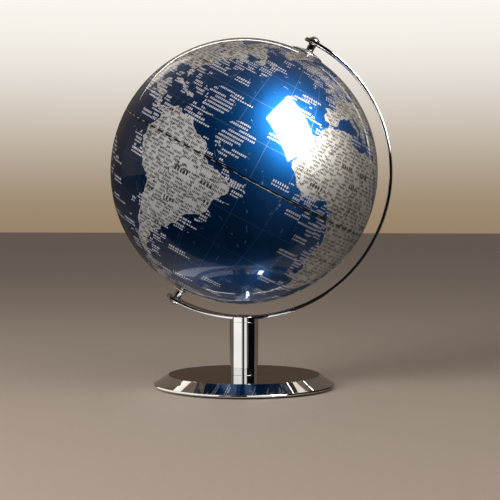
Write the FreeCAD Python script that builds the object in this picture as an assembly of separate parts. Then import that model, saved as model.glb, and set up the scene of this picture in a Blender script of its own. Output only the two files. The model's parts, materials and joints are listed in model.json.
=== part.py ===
"""Desktop globe on stand.

A hollow globe ball turns on a tilted polar axis inside a semi-circular meridian arc.
The arc stands on a short round column over a weighted disc base.
Units are millimetres, +Z is up, and the origin is the centre of the base's underside.
The arc lies in the XZ plane and the north end of the polar axis leans towards +X.
"""
import FreeCAD, Part
import math
import os

Vector = FreeCAD.Vector

# ---- overall sizes ----
globe_radius = 125.0
axis_tilt = 28.5            # degrees between the polar axis and the vertical
arc_gap = 10.5              # free space between the ball and the inside of the arc
base_radius = 84.5
base_height = 12.0
column_radius = 13.5
column_length = 49.5

# ---- globe ball ----
shell_wall = 1.6
pole_land_radius = 6.2      # small flat that the bush flange sits on
pole_boss_radius = 9.0
pole_boss_depth = 9.0
ring_flange_thickness = 0.8
ring_flange_inset = 0.4     # the flange edge stays below the ball's skin
ring_band_height = 14.0
ring_band_wall = 1.6

# ---- polar bearings ----
journal_radius = 2.5
journal_length = 15.5
bush_body_radius = 4.2
bush_flange_radius = 5.6
south_flange_thickness = 1.4
north_flange_thickness = 2.1
stud_radius = 2.0
collar_radius = 3.75
collar_thickness = 1.1
spacer_radius = 3.75
washer_radius = 6.0
washer_thickness = 0.7

# ---- hour dial ----
dial_radius = 15.0
dial_rim_thickness = 0.6
dial_lift = 0.45            # free height between the dial and the ball
dial_hub_radius = 7.2
dial_crown_share = 0.72     # share of the dome's rise reached half-way across it

# ---- meridian arc ----
arc_width = 18.0
arc_thickness = 3.0
arc_corner = 0.4            # small chamfer along the bar's long edges
arc_screw_offset = 7.0
arc_screw_radius = 1.75
arc_screw_length = 13.0
arc_screw_head_radius = 3.4
arc_screw_head_height = 1.8

# ---- dome nuts ----
nut_radius = 5.25
nut_skirt = 1.0
nut_dome_rise = 3.0
nut_roof = 1.2

# ---- cross recess of the countersunk screws ----
recess_length_ratio = 1.1   # of the head's radius
recess_width_ratio = 0.26   # of the head's radius
recess_depth_ratio = 0.6    # of the head's height

# ---- column ----
column_wall = 1.5
head_wall_height = 5.1      # height of the head's cheeks above the tube
head_seat_thickness = 2.0   # metal between the tube and the arc
head_edge = 0.8             # chamfer round the head's top edge
spigot_length = 15.0
plug_length = 12.0

# ---- base ----
base_cone_run = 12.0        # how far the flat top stops short of the cone's foot
base_lip_height = 2.5
base_lip_round = 1.0
base_wall = 1.5
pad_thickness = 1.5
pad_inset = 5.5
floor_plate_thickness = 1.5
weight_side_gap = 0.8
weight_web = 1.5
weight_recess_radius = 9.0
weight_straight_side = 1.0  # height of the weight's upright side below its slope
plate_screw_circle = 55.0
plate_screw_count = 3
plate_screw_radius = 1.75
plate_screw_length = 6.0
plate_screw_head_radius = 3.2
plate_screw_head_height = 1.4

# ---- tie bolt ----
tie_radius = 3.0
tie_head_across_flats = 10.0
tie_head_height = 3.2
tie_grip_in_head = 12.0
tie_washer_radius = 6.5
tie_washer_thickness = 1.2
lock_washer_radius = 5.4
lock_washer_thickness = 1.2
lock_washer_gap = 1.0

# ---- fits ----
running_clearance = 0.05    # radial, pin in bush
dial_clearance = 0.08       # radial, dial on its hub
screw_clearance = 0.05      # radial, thread envelope in its hole
slip_clearance = 0.10       # radial or sideways, parts that are pushed together
play = 0.15                 # end float between turning faces
cut_over = 1.0              # how far a cutting solid runs past what it cuts

# ---- levels that follow from the sizes above ----
arc_inner_radius = globe_radius + arc_gap
arc_outer_radius = arc_inner_radius + arc_thickness
column_top = base_height + column_length
arc_seat = column_top + head_seat_thickness
globe_centre = arc_seat + arc_outer_radius
floor_plate_top = pad_thickness + floor_plate_thickness
base_ceiling = base_height - base_wall
web_underside = base_ceiling - weight_web
column_bore = column_radius - column_wall
pole_land = math.sqrt(globe_radius ** 2 - pole_land_radius ** 2)
bush_length_inside = pole_boss_depth + shell_wall


# ---- drawing helpers ----
def outline_face(*steps):
    """A closed face in the XZ plane from points (r, z).

    A step of two points is an arc: through the first, ending at the second.
    """
    def at(point):
        return Vector(point[0], 0, point[1])

    first = steps[0]
    last = first
    edges = []
    for step in list(steps[1:]) + [first]:
        if isinstance(step[0], tuple):
            edges.append(Part.Arc(at(last), at(step[0]), at(step[1])).toShape())
            last = step[1]
        elif at(step).distanceToPoint(at(last)) > 1e-7:
            edges.append(Part.makeLine(at(last), at(step)))
            last = step
    return Part.Face(Part.Wire(edges))


def turned(*steps):
    """A solid of revolution about Z from an outline of (r, z) steps."""
    return outline_face(*steps).revolve(Vector(0, 0, 0), Vector(0, 0, 1), 360)


def rod(radius, low, high):
    return Part.makeCylinder(radius, high - low, Vector(0, 0, low))


def tube(outer, inner, low, high):
    return rod(outer, low, high).cut(rod(inner, low - cut_over, high + cut_over))


def cross_drum(radius, width):
    """A drum about the axis through the ball's centre that runs along Y."""
    start = Vector(0, -width / 2, 0)
    return Part.makeCylinder(radius, width, start, Vector(0, 1, 0))


def on_axis(shape, pole):
    """Put a shape drawn along +Z from the ball's centre on the polar axis."""
    turn = axis_tilt if pole == "north" else axis_tilt + 180
    rotation = FreeCAD.Rotation(Vector(0, 1, 0), turn)
    placed = shape.copy()
    placed.Placement = FreeCAD.Placement(Vector(0, 0, globe_centre), rotation)
    return placed


def countersunk_screw(radius, length, head_radius, head_height):
    """A flat-headed screw with a cross recess, head at z = 0, pointing down."""
    body = turned((0, 0), (head_radius, 0), (radius, -head_height), (radius, -length),
                  (0, -length))
    slot_length = head_radius * recess_length_ratio
    slot_width = head_radius * recess_width_ratio
    slot_depth = head_height * recess_depth_ratio
    for turn in (0, 90):
        slot = Part.makeBox(slot_length, slot_width, slot_depth + cut_over)
        slot.translate(Vector(-slot_length / 2, -slot_width / 2, -slot_depth))
        slot.rotate(Vector(0, 0, 0), Vector(0, 0, 1), turn)
        body = body.cut(slot)
    return body


def countersunk_hole(radius, length, head_radius, head_height):
    """The space that a flat-headed screw needs, with its clearance."""
    wide = head_radius + screw_clearance
    thin = radius + screw_clearance
    return turned((0, cut_over), (wide, cut_over), (wide, 0), (thin, -head_height),
                  (thin, -length), (0, -length))


def around_circle(shape, radius, count):
    """Copies of a shape, evenly spaced on a circle."""
    copies = []
    for number in range(count):
        copy = shape.copy()
        copy.translate(Vector(radius, 0, 0))
        copy.rotate(Vector(0, 0, 0), Vector(0, 0, 1), 360.0 * number / count)
        copies.append(copy)
    return copies


# ---- globe ball ----
def hemisphere():
    """Half of the hollow ball, drawn with its pole on +Z, with a boss for the bush."""
    edge = ring_flange_thickness / 2
    inner = globe_radius - shell_wall
    hole = bush_body_radius + screw_clearance
    boss_foot = globe_radius - shell_wall - pole_boss_depth
    middle = math.radians(45)

    def on_sphere(radius, r):
        return (r, math.sqrt(radius ** 2 - r ** 2))

    return turned(
        (math.sqrt(globe_radius ** 2 - edge ** 2), edge),
        ((globe_radius * math.cos(middle), globe_radius * math.sin(middle)),
         (pole_land_radius, pole_land)),
        (hole, pole_land),
        (hole, boss_foot),
        (pole_boss_radius, boss_foot),
        on_sphere(inner, pole_boss_radius),
        ((inner * math.cos(middle), inner * math.sin(middle)),
         (math.sqrt(inner ** 2 - edge ** 2), edge)))


def joining_ring():
    """A T-section ring: its flange lies between the hemispheres' edges."""
    edge = ring_flange_thickness / 2
    reach = ring_band_height / 2
    flange = globe_radius - ring_flange_inset
    inner = globe_radius - shell_wall
    band_outside = math.sqrt(inner ** 2 - reach ** 2) - slip_clearance
    band_inside = band_outside - ring_band_wall
    return turned((band_inside, -reach), (band_outside, -reach), (band_outside, -edge),
                  (flange, -edge), (flange, edge), (band_outside, edge), (band_outside, reach),
                  (band_inside, reach))


def pole_bush(flange_thickness):
    """A plain bearing bush, pushed into the pole from outside."""
    top = pole_land + flange_thickness
    bottom = pole_land - bush_length_inside
    bore = journal_radius + running_clearance
    return turned((bore, bottom), (bush_body_radius, bottom), (bush_body_radius, pole_land),
                  (bush_flange_radius, pole_land), (bush_flange_radius, top), (bore, top))


def hour_dial():
    """A shallow domed disc that turns on the north bush's flange."""
    hole = bush_flange_radius + dial_clearance
    rim_low = math.sqrt(globe_radius ** 2 - dial_radius ** 2) + dial_lift
    rim_high = rim_low + dial_rim_thickness
    hub_low = pole_land + dial_lift
    hub_high = dial_top()
    shoulder = (dial_radius + dial_hub_radius) / 2
    bulge = rim_high + (hub_high - rim_high) * dial_crown_share
    return turned((hole, hub_low), (dial_radius, rim_low), (dial_radius, rim_high),
                  ((shoulder, bulge), (dial_hub_radius, hub_high)), (hole, hub_high))


def dial_top():
    return pole_land + north_flange_thickness + play


# ---- polar pins, washers, spacers, nuts ----
def washer_level(pole):
    """Height on the axis where the washer starts, clear of what turns under it."""
    if pole == "north":
        return dial_top() + play
    return pole_land + south_flange_thickness + play


def collar_level(pole):
    return washer_level(pole) + washer_thickness


def spacer_level(pole):
    return collar_level(pole) + collar_thickness


def pivot_pin(pole):
    """The journal that the bush runs on, a collar, and the stud that the nut takes."""
    collar = collar_level(pole)
    shoulder = spacer_level(pole)
    stud_end = nut_hole_end() - play
    return turned((0, collar - journal_length), (journal_radius, collar - journal_length),
                  (journal_radius, collar), (collar_radius, collar), (collar_radius, shoulder),
                  (stud_radius, shoulder), (stud_radius, stud_end), (0, stud_end))


def bearing_washer(pole):
    low = washer_level(pole)
    return tube(washer_radius, journal_radius + screw_clearance, low, low + washer_thickness)


def spacer(pole):
    """The sleeve between the pin's collar and the arc, its outer end saddled to the arc."""
    sleeve = tube(spacer_radius, stud_radius + screw_clearance, spacer_level(pole),
                  arc_outer_radius)
    return sleeve.common(cross_drum(arc_inner_radius, arc_width))


def nut_hole_end():
    return arc_outer_radius + nut_skirt + nut_dome_rise - nut_roof


def dome_nut():
    """A low domed nut whose underside is saddled to the arc."""
    skirt_top = arc_outer_radius + nut_skirt
    crown = skirt_top + nut_dome_rise
    foot = arc_outer_radius - cut_over
    dome_radius = (nut_radius ** 2 + nut_dome_rise ** 2) / (2 * nut_dome_rise)
    half_r = nut_radius / 2
    half_z = crown - dome_radius + math.sqrt(dome_radius ** 2 - half_r ** 2)
    blank = turned((0, foot), (nut_radius, foot), (nut_radius, skirt_top),
                   ((half_r, half_z), (0, crown)))
    blank = blank.cut(cross_drum(arc_outer_radius, arc_width))
    return blank.cut(rod(stud_radius + screw_clearance, foot - cut_over, nut_hole_end()))


# ---- arc ----
def arc_screw_places():
    """Where the arc screws' heads lie: x, and the height of the arc's inner face there."""
    level = globe_centre - math.sqrt(arc_inner_radius ** 2 - arc_screw_offset ** 2)
    return [Vector(side * arc_screw_offset, 0, level) for side in (-1, 1)]


def meridian_arc():
    """A flat bar bent through half a circle, with round ends about the two pivots."""
    half = arc_width / 2
    section = Part.makePolygon([
        Vector(arc_inner_radius, -half + arc_corner, 0),
        Vector(arc_inner_radius, half - arc_corner, 0),
        Vector(arc_inner_radius + arc_corner, half, 0),
        Vector(arc_outer_radius - arc_corner, half, 0),
        Vector(arc_outer_radius, half - arc_corner, 0),
        Vector(arc_outer_radius, -half + arc_corner, 0),
        Vector(arc_outer_radius - arc_corner, -half, 0),
        Vector(arc_inner_radius + arc_corner, -half, 0),
        Vector(arc_inner_radius, -half + arc_corner, 0)])
    hoop = Part.Face(section).revolve(Vector(0, 0, 0), Vector(0, 1, 0), 360)
    reach = 2 * arc_outer_radius
    side = Part.makeBox(reach, 2 * arc_width, 2 * reach, Vector(0, -arc_width, -reach))
    round_ends = rod(half, -arc_outer_radius - cut_over, arc_outer_radius + cut_over)
    bar = hoop.common(side.fuse(round_ends).removeSplitter())
    bar = bar.cut(rod(stud_radius + slip_clearance, -reach, reach))
    bar = on_axis(bar, "north")
    hole = countersunk_hole(arc_screw_radius, arc_screw_length + cut_over,
                            arc_screw_head_radius, arc_screw_head_height)
    for place in arc_screw_places():
        drill = hole.copy()
        drill.translate(place)
        bar = bar.cut(drill)
    return bar


def arc_screws():
    screws = []
    for place in arc_screw_places():
        screw = countersunk_screw(arc_screw_radius, arc_screw_length, arc_screw_head_radius,
                                  arc_screw_head_height)
        screw.translate(place)
        screws.append(screw)
    return Part.makeCompound(screws)


# ---- column ----
def column_tube():
    return tube(column_radius, column_bore, base_height, column_top)


def column_head():
    """The cap on the tube: a spigot below, and a slot across it that holds the arc."""
    top = column_top + head_wall_height
    spigot = column_bore - slip_clearance
    head = turned((0, column_top - spigot_length), (spigot, column_top - spigot_length),
                  (spigot, column_top), (column_radius, column_top),
                  (column_radius, top - head_edge), (column_radius - head_edge, top), (0, top))
    slot = cross_drum(arc_outer_radius, arc_width + 2 * slip_clearance)
    slot.translate(Vector(0, 0, globe_centre))
    head = head.cut(slot)
    head = head.cut(rod(tie_radius + screw_clearance, 0, tie_end() + play))
    for place in arc_screw_places():
        head = head.cut(Part.makeCylinder(arc_screw_radius + screw_clearance,
                                          arc_screw_length + play, place, Vector(0, 0, -1)))
    return head


def column_foot_plug():
    """A collar inside the tube's foot that centres it on the tie bolt."""
    return tube(column_bore - slip_clearance, tie_radius + slip_clearance, base_height,
                base_height + plug_length)


# ---- tie bolt ----
def tie_end():
    return column_top - spigot_length + tie_grip_in_head


def tie_head_top():
    return web_underside - tie_washer_thickness - lock_washer_thickness


def tie_bolt():
    corner = tie_head_across_flats / 2 / math.cos(math.radians(30))
    low = tie_head_top() - tie_head_height
    corners = []
    for number in range(7):
        turn = math.radians(60 * number)
        corners.append(Vector(corner * math.cos(turn), corner * math.sin(turn), low))
    head = Part.Face(Part.makePolygon(corners)).extrude(Vector(0, 0, tie_head_height))
    return head.fuse(rod(tie_radius, low, tie_end())).removeSplitter()


def tie_bolt_washer():
    return tube(tie_washer_radius, tie_radius + slip_clearance,
                web_underside - tie_washer_thickness, web_underside)


def tie_bolt_lock_washer():
    """A split ring."""
    low = tie_head_top()
    ring = tube(lock_washer_radius, tie_radius + slip_clearance, low, low + lock_washer_thickness)
    gap = Part.makeBox(lock_washer_radius + cut_over, lock_washer_gap,
                       lock_washer_thickness + 2 * cut_over,
                       Vector(0, -lock_washer_gap / 2, low - cut_over))
    return ring.cut(gap)


# ---- base ----
def cone_profile():
    """The shell's outer cone: its foot and its top edge as (r, z)."""
    foot = (base_radius - base_lip_round, pad_thickness + base_lip_height)
    top = (foot[0] - base_cone_run, base_height)
    return foot, top


def inner_cone_radius(level):
    """Radius of the shell's inner cone face at a height."""
    foot, top = cone_profile()
    run = foot[0] - top[0]
    rise = top[1] - foot[1]
    across = base_wall * math.hypot(run, rise) / rise
    return foot[0] - (level - foot[1]) * run / rise - across


def base_shell():
    """The plated cover: flat top, conical side, rounded lip, open underneath."""
    foot, top = cone_profile()
    lip_low = pad_thickness
    lip_middle = (foot[1] + lip_low) / 2
    inside = floor_plate_radius() + slip_clearance
    run = foot[0] - top[0]
    rise = top[1] - foot[1]
    inner_foot = base_ceiling - (inside - inner_cone_radius(base_ceiling)) * rise / run
    return turned(
        (tie_radius + slip_clearance, base_ceiling),
        (inner_cone_radius(base_ceiling), base_ceiling),
        (inside, inner_foot),
        (inside, lip_low),
        (base_radius - base_lip_round, lip_low),
        ((base_radius, lip_middle), foot),
        top,
        (tie_radius + slip_clearance, base_height))


def floor_plate_radius():
    return base_radius - 2 * base_wall


def screw_ring(shape):
    """Copies of a screw-shaped solid, upside down at the floor plate's underside."""
    turned_over = shape.copy()
    turned_over.rotate(Vector(0, 0, 0), Vector(1, 0, 0), 180)
    turned_over.translate(Vector(0, 0, pad_thickness))
    return around_circle(turned_over, plate_screw_circle, plate_screw_count)


def base_weight():
    """A cast disc that fills the shell, with a recess for the bolt's head."""
    reach = floor_plate_radius() - weight_side_gap
    side_top = floor_plate_top + weight_straight_side
    upper = inner_cone_radius(base_ceiling) - weight_side_gap
    lower = min(reach, inner_cone_radius(side_top) - weight_side_gap)
    weight = turned((0, floor_plate_top), (lower, floor_plate_top), (lower, side_top),
                    (upper, base_ceiling), (0, base_ceiling))
    weight = weight.cut(rod(tie_radius + slip_clearance, 0, base_height))
    weight = weight.cut(rod(weight_recess_radius, 0, web_underside))
    for hole in screw_ring(rod(plate_screw_radius + screw_clearance,
                               -plate_screw_length - play, 0)):
        weight = weight.cut(hole)
    return weight


def base_floor_plate():
    plate = rod(floor_plate_radius(), pad_thickness, floor_plate_top)
    hole = countersunk_hole(plate_screw_radius, plate_screw_length, plate_screw_head_radius,
                            plate_screw_head_height)
    for drill in screw_ring(hole):
        plate = plate.cut(drill)
    return plate


def plate_screws():
    screw = countersunk_screw(plate_screw_radius, plate_screw_length, plate_screw_head_radius,
                              plate_screw_head_height)
    return Part.makeCompound(screw_ring(screw))


def base_pad():
    """A foam disc under the floor plate; the whole object rests on it."""
    return rod(base_radius - pad_inset, 0, pad_thickness)


nodes = {
    "northern_hemisphere": on_axis(hemisphere(), "north"),
    "southern_hemisphere": on_axis(hemisphere(), "south"),
    "joining_ring": on_axis(joining_ring(), "north"),
    "north_pole_bush": on_axis(pole_bush(north_flange_thickness), "north"),
    "south_pole_bush": on_axis(pole_bush(south_flange_thickness), "south"),
    "hour_dial": on_axis(hour_dial(), "north"),
    "meridian_arc": meridian_arc(),
    "arc_screws": arc_screws(),
    "column_head": column_head(),
    "column_tube": column_tube(),
    "column_foot_plug": column_foot_plug(),
    "tie_bolt": tie_bolt(),
    "tie_bolt_washer": tie_bolt_washer(),
    "tie_bolt_lock_washer": tie_bolt_lock_washer(),
    "base_shell": base_shell(),
    "base_weight": base_weight(),
    "base_floor_plate": base_floor_plate(),
    "plate_screws": plate_screws(),
    "base_pad": base_pad(),
}
for pole in ("north", "south"):
    nodes[pole + "_pivot_pin"] = on_axis(pivot_pin(pole), pole)
    nodes[pole + "_spacer"] = on_axis(spacer(pole), pole)
    nodes[pole + "_dome_nut"] = on_axis(dome_nut(), pole)
nodes["north_friction_washer"] = on_axis(bearing_washer("north"), "north")
nodes["south_thrust_washer"] = on_axis(bearing_washer("south"), "south")

os.makedirs("parts", exist_ok=True)
for name, shape in nodes.items():
    shape.exportStep("parts/" + name + ".step")
    print(name, len(shape.Solids), "solid", round(shape.Volume, 1), "mm3", shape.isValid())
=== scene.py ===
"""Desktop globe on stand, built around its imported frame.

A printed metallic ball under clear lacquer turns in a chromed semi-circular arc.
Lengths are metres in the meshes and millimetres in the patterns, as each name says.
"""
import json
import math

import bpy
import numpy as np
from bpy.props import FloatProperty, IntProperty, PointerProperty, StringProperty
from mathutils import Matrix, Vector


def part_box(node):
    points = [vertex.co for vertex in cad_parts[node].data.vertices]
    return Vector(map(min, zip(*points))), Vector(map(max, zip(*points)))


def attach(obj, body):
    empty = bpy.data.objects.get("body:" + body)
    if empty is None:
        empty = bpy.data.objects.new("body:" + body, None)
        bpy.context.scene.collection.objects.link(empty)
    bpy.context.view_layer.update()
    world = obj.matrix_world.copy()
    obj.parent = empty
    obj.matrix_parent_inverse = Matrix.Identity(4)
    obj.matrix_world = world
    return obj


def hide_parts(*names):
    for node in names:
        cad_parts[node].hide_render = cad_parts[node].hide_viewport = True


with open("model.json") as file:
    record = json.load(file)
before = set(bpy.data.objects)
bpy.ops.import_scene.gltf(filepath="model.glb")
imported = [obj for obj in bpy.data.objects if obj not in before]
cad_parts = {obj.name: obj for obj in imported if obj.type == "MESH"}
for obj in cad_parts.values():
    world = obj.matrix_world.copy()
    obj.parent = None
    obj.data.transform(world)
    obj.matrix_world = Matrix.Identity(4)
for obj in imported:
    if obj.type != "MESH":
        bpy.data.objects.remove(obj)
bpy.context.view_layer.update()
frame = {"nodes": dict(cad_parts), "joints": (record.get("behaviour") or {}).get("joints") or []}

bl_info = {
    "name": "Desk Globe",
    "version": (1, 0, 0),
    "blender": (4, 5, 0),
    "location": "View3D > Sidebar > Desk Globe",
    "description": "Builds a desktop globe on a chromed stand around its fixed frame",
    "category": "Object",
}

MM = 0.001
MATH = "ShaderNodeMath"
VECTOR_MATH = "ShaderNodeVectorMath"
MIX = "ShaderNodeMix"
COLOURS = {"data_type": "RGBA", "out": 2}    # a Mix node's settings for two colours
WAVE = math.pi / 10         # a Wave node's scale, times the spacing of its bands
SAME = 1e-6                 # metres: measures that differ by less are the same
TURNED_STEPS = 96           # divisions round a small turned piece
HOLE_STEPS = 48             # divisions round a drilled hole
COLUMN_STEPS = 160          # divisions round the column
BASE_STEPS = 256            # divisions round the base cover
PAD_STEPS = 192             # divisions round the pad


# ---- places taken from the frame ----
def joint(name):
    return next(row for row in frame["joints"] if row["name"] == name)


CENTRE = Vector(joint("globe_spin")["pos_m"])
POLE = Vector(joint("globe_spin")["axis"]).normalized()
TILT = math.atan2(POLE.x, POLE.z)
NORTH = Matrix.Translation(CENTRE) @ Matrix.Rotation(TILT, 4, "Y")
SOUTH = NORTH @ Matrix.Rotation(math.pi, 4, "Y")
UPRIGHT = Matrix.Identity(4)
ARC_PLANE = Matrix.Translation(CENTRE) @ Matrix.Rotation(math.pi / 2, 4, "X")
BALL_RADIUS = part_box("northern_hemisphere")[1].y
POLAR_PLACE = (tuple(CENTRE), (0, TILT, 0))     # a Mapping node's location and rotation


def corners_from(mesh, place):
    """A mesh's corners as rows, measured from a place."""
    back = np.array(place.inverted())
    return np.array([v.co for v in mesh.vertices]) @ back[:3, :3].T + back[:3, 3]


def corners_round(node, place):
    """Distances from an axis and heights along it of a CAD node's corners."""
    points = corners_from(frame["nodes"][node].data, place)
    return np.hypot(points[:, 0], points[:, 1]), points[:, 2]


def span_round(node, place):
    """Lowest and highest level along an axis, and smallest and largest radius, of a CAD node."""
    radius, level = corners_round(node, place)
    return level.min(), level.max(), radius.min(), radius.max()


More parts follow.
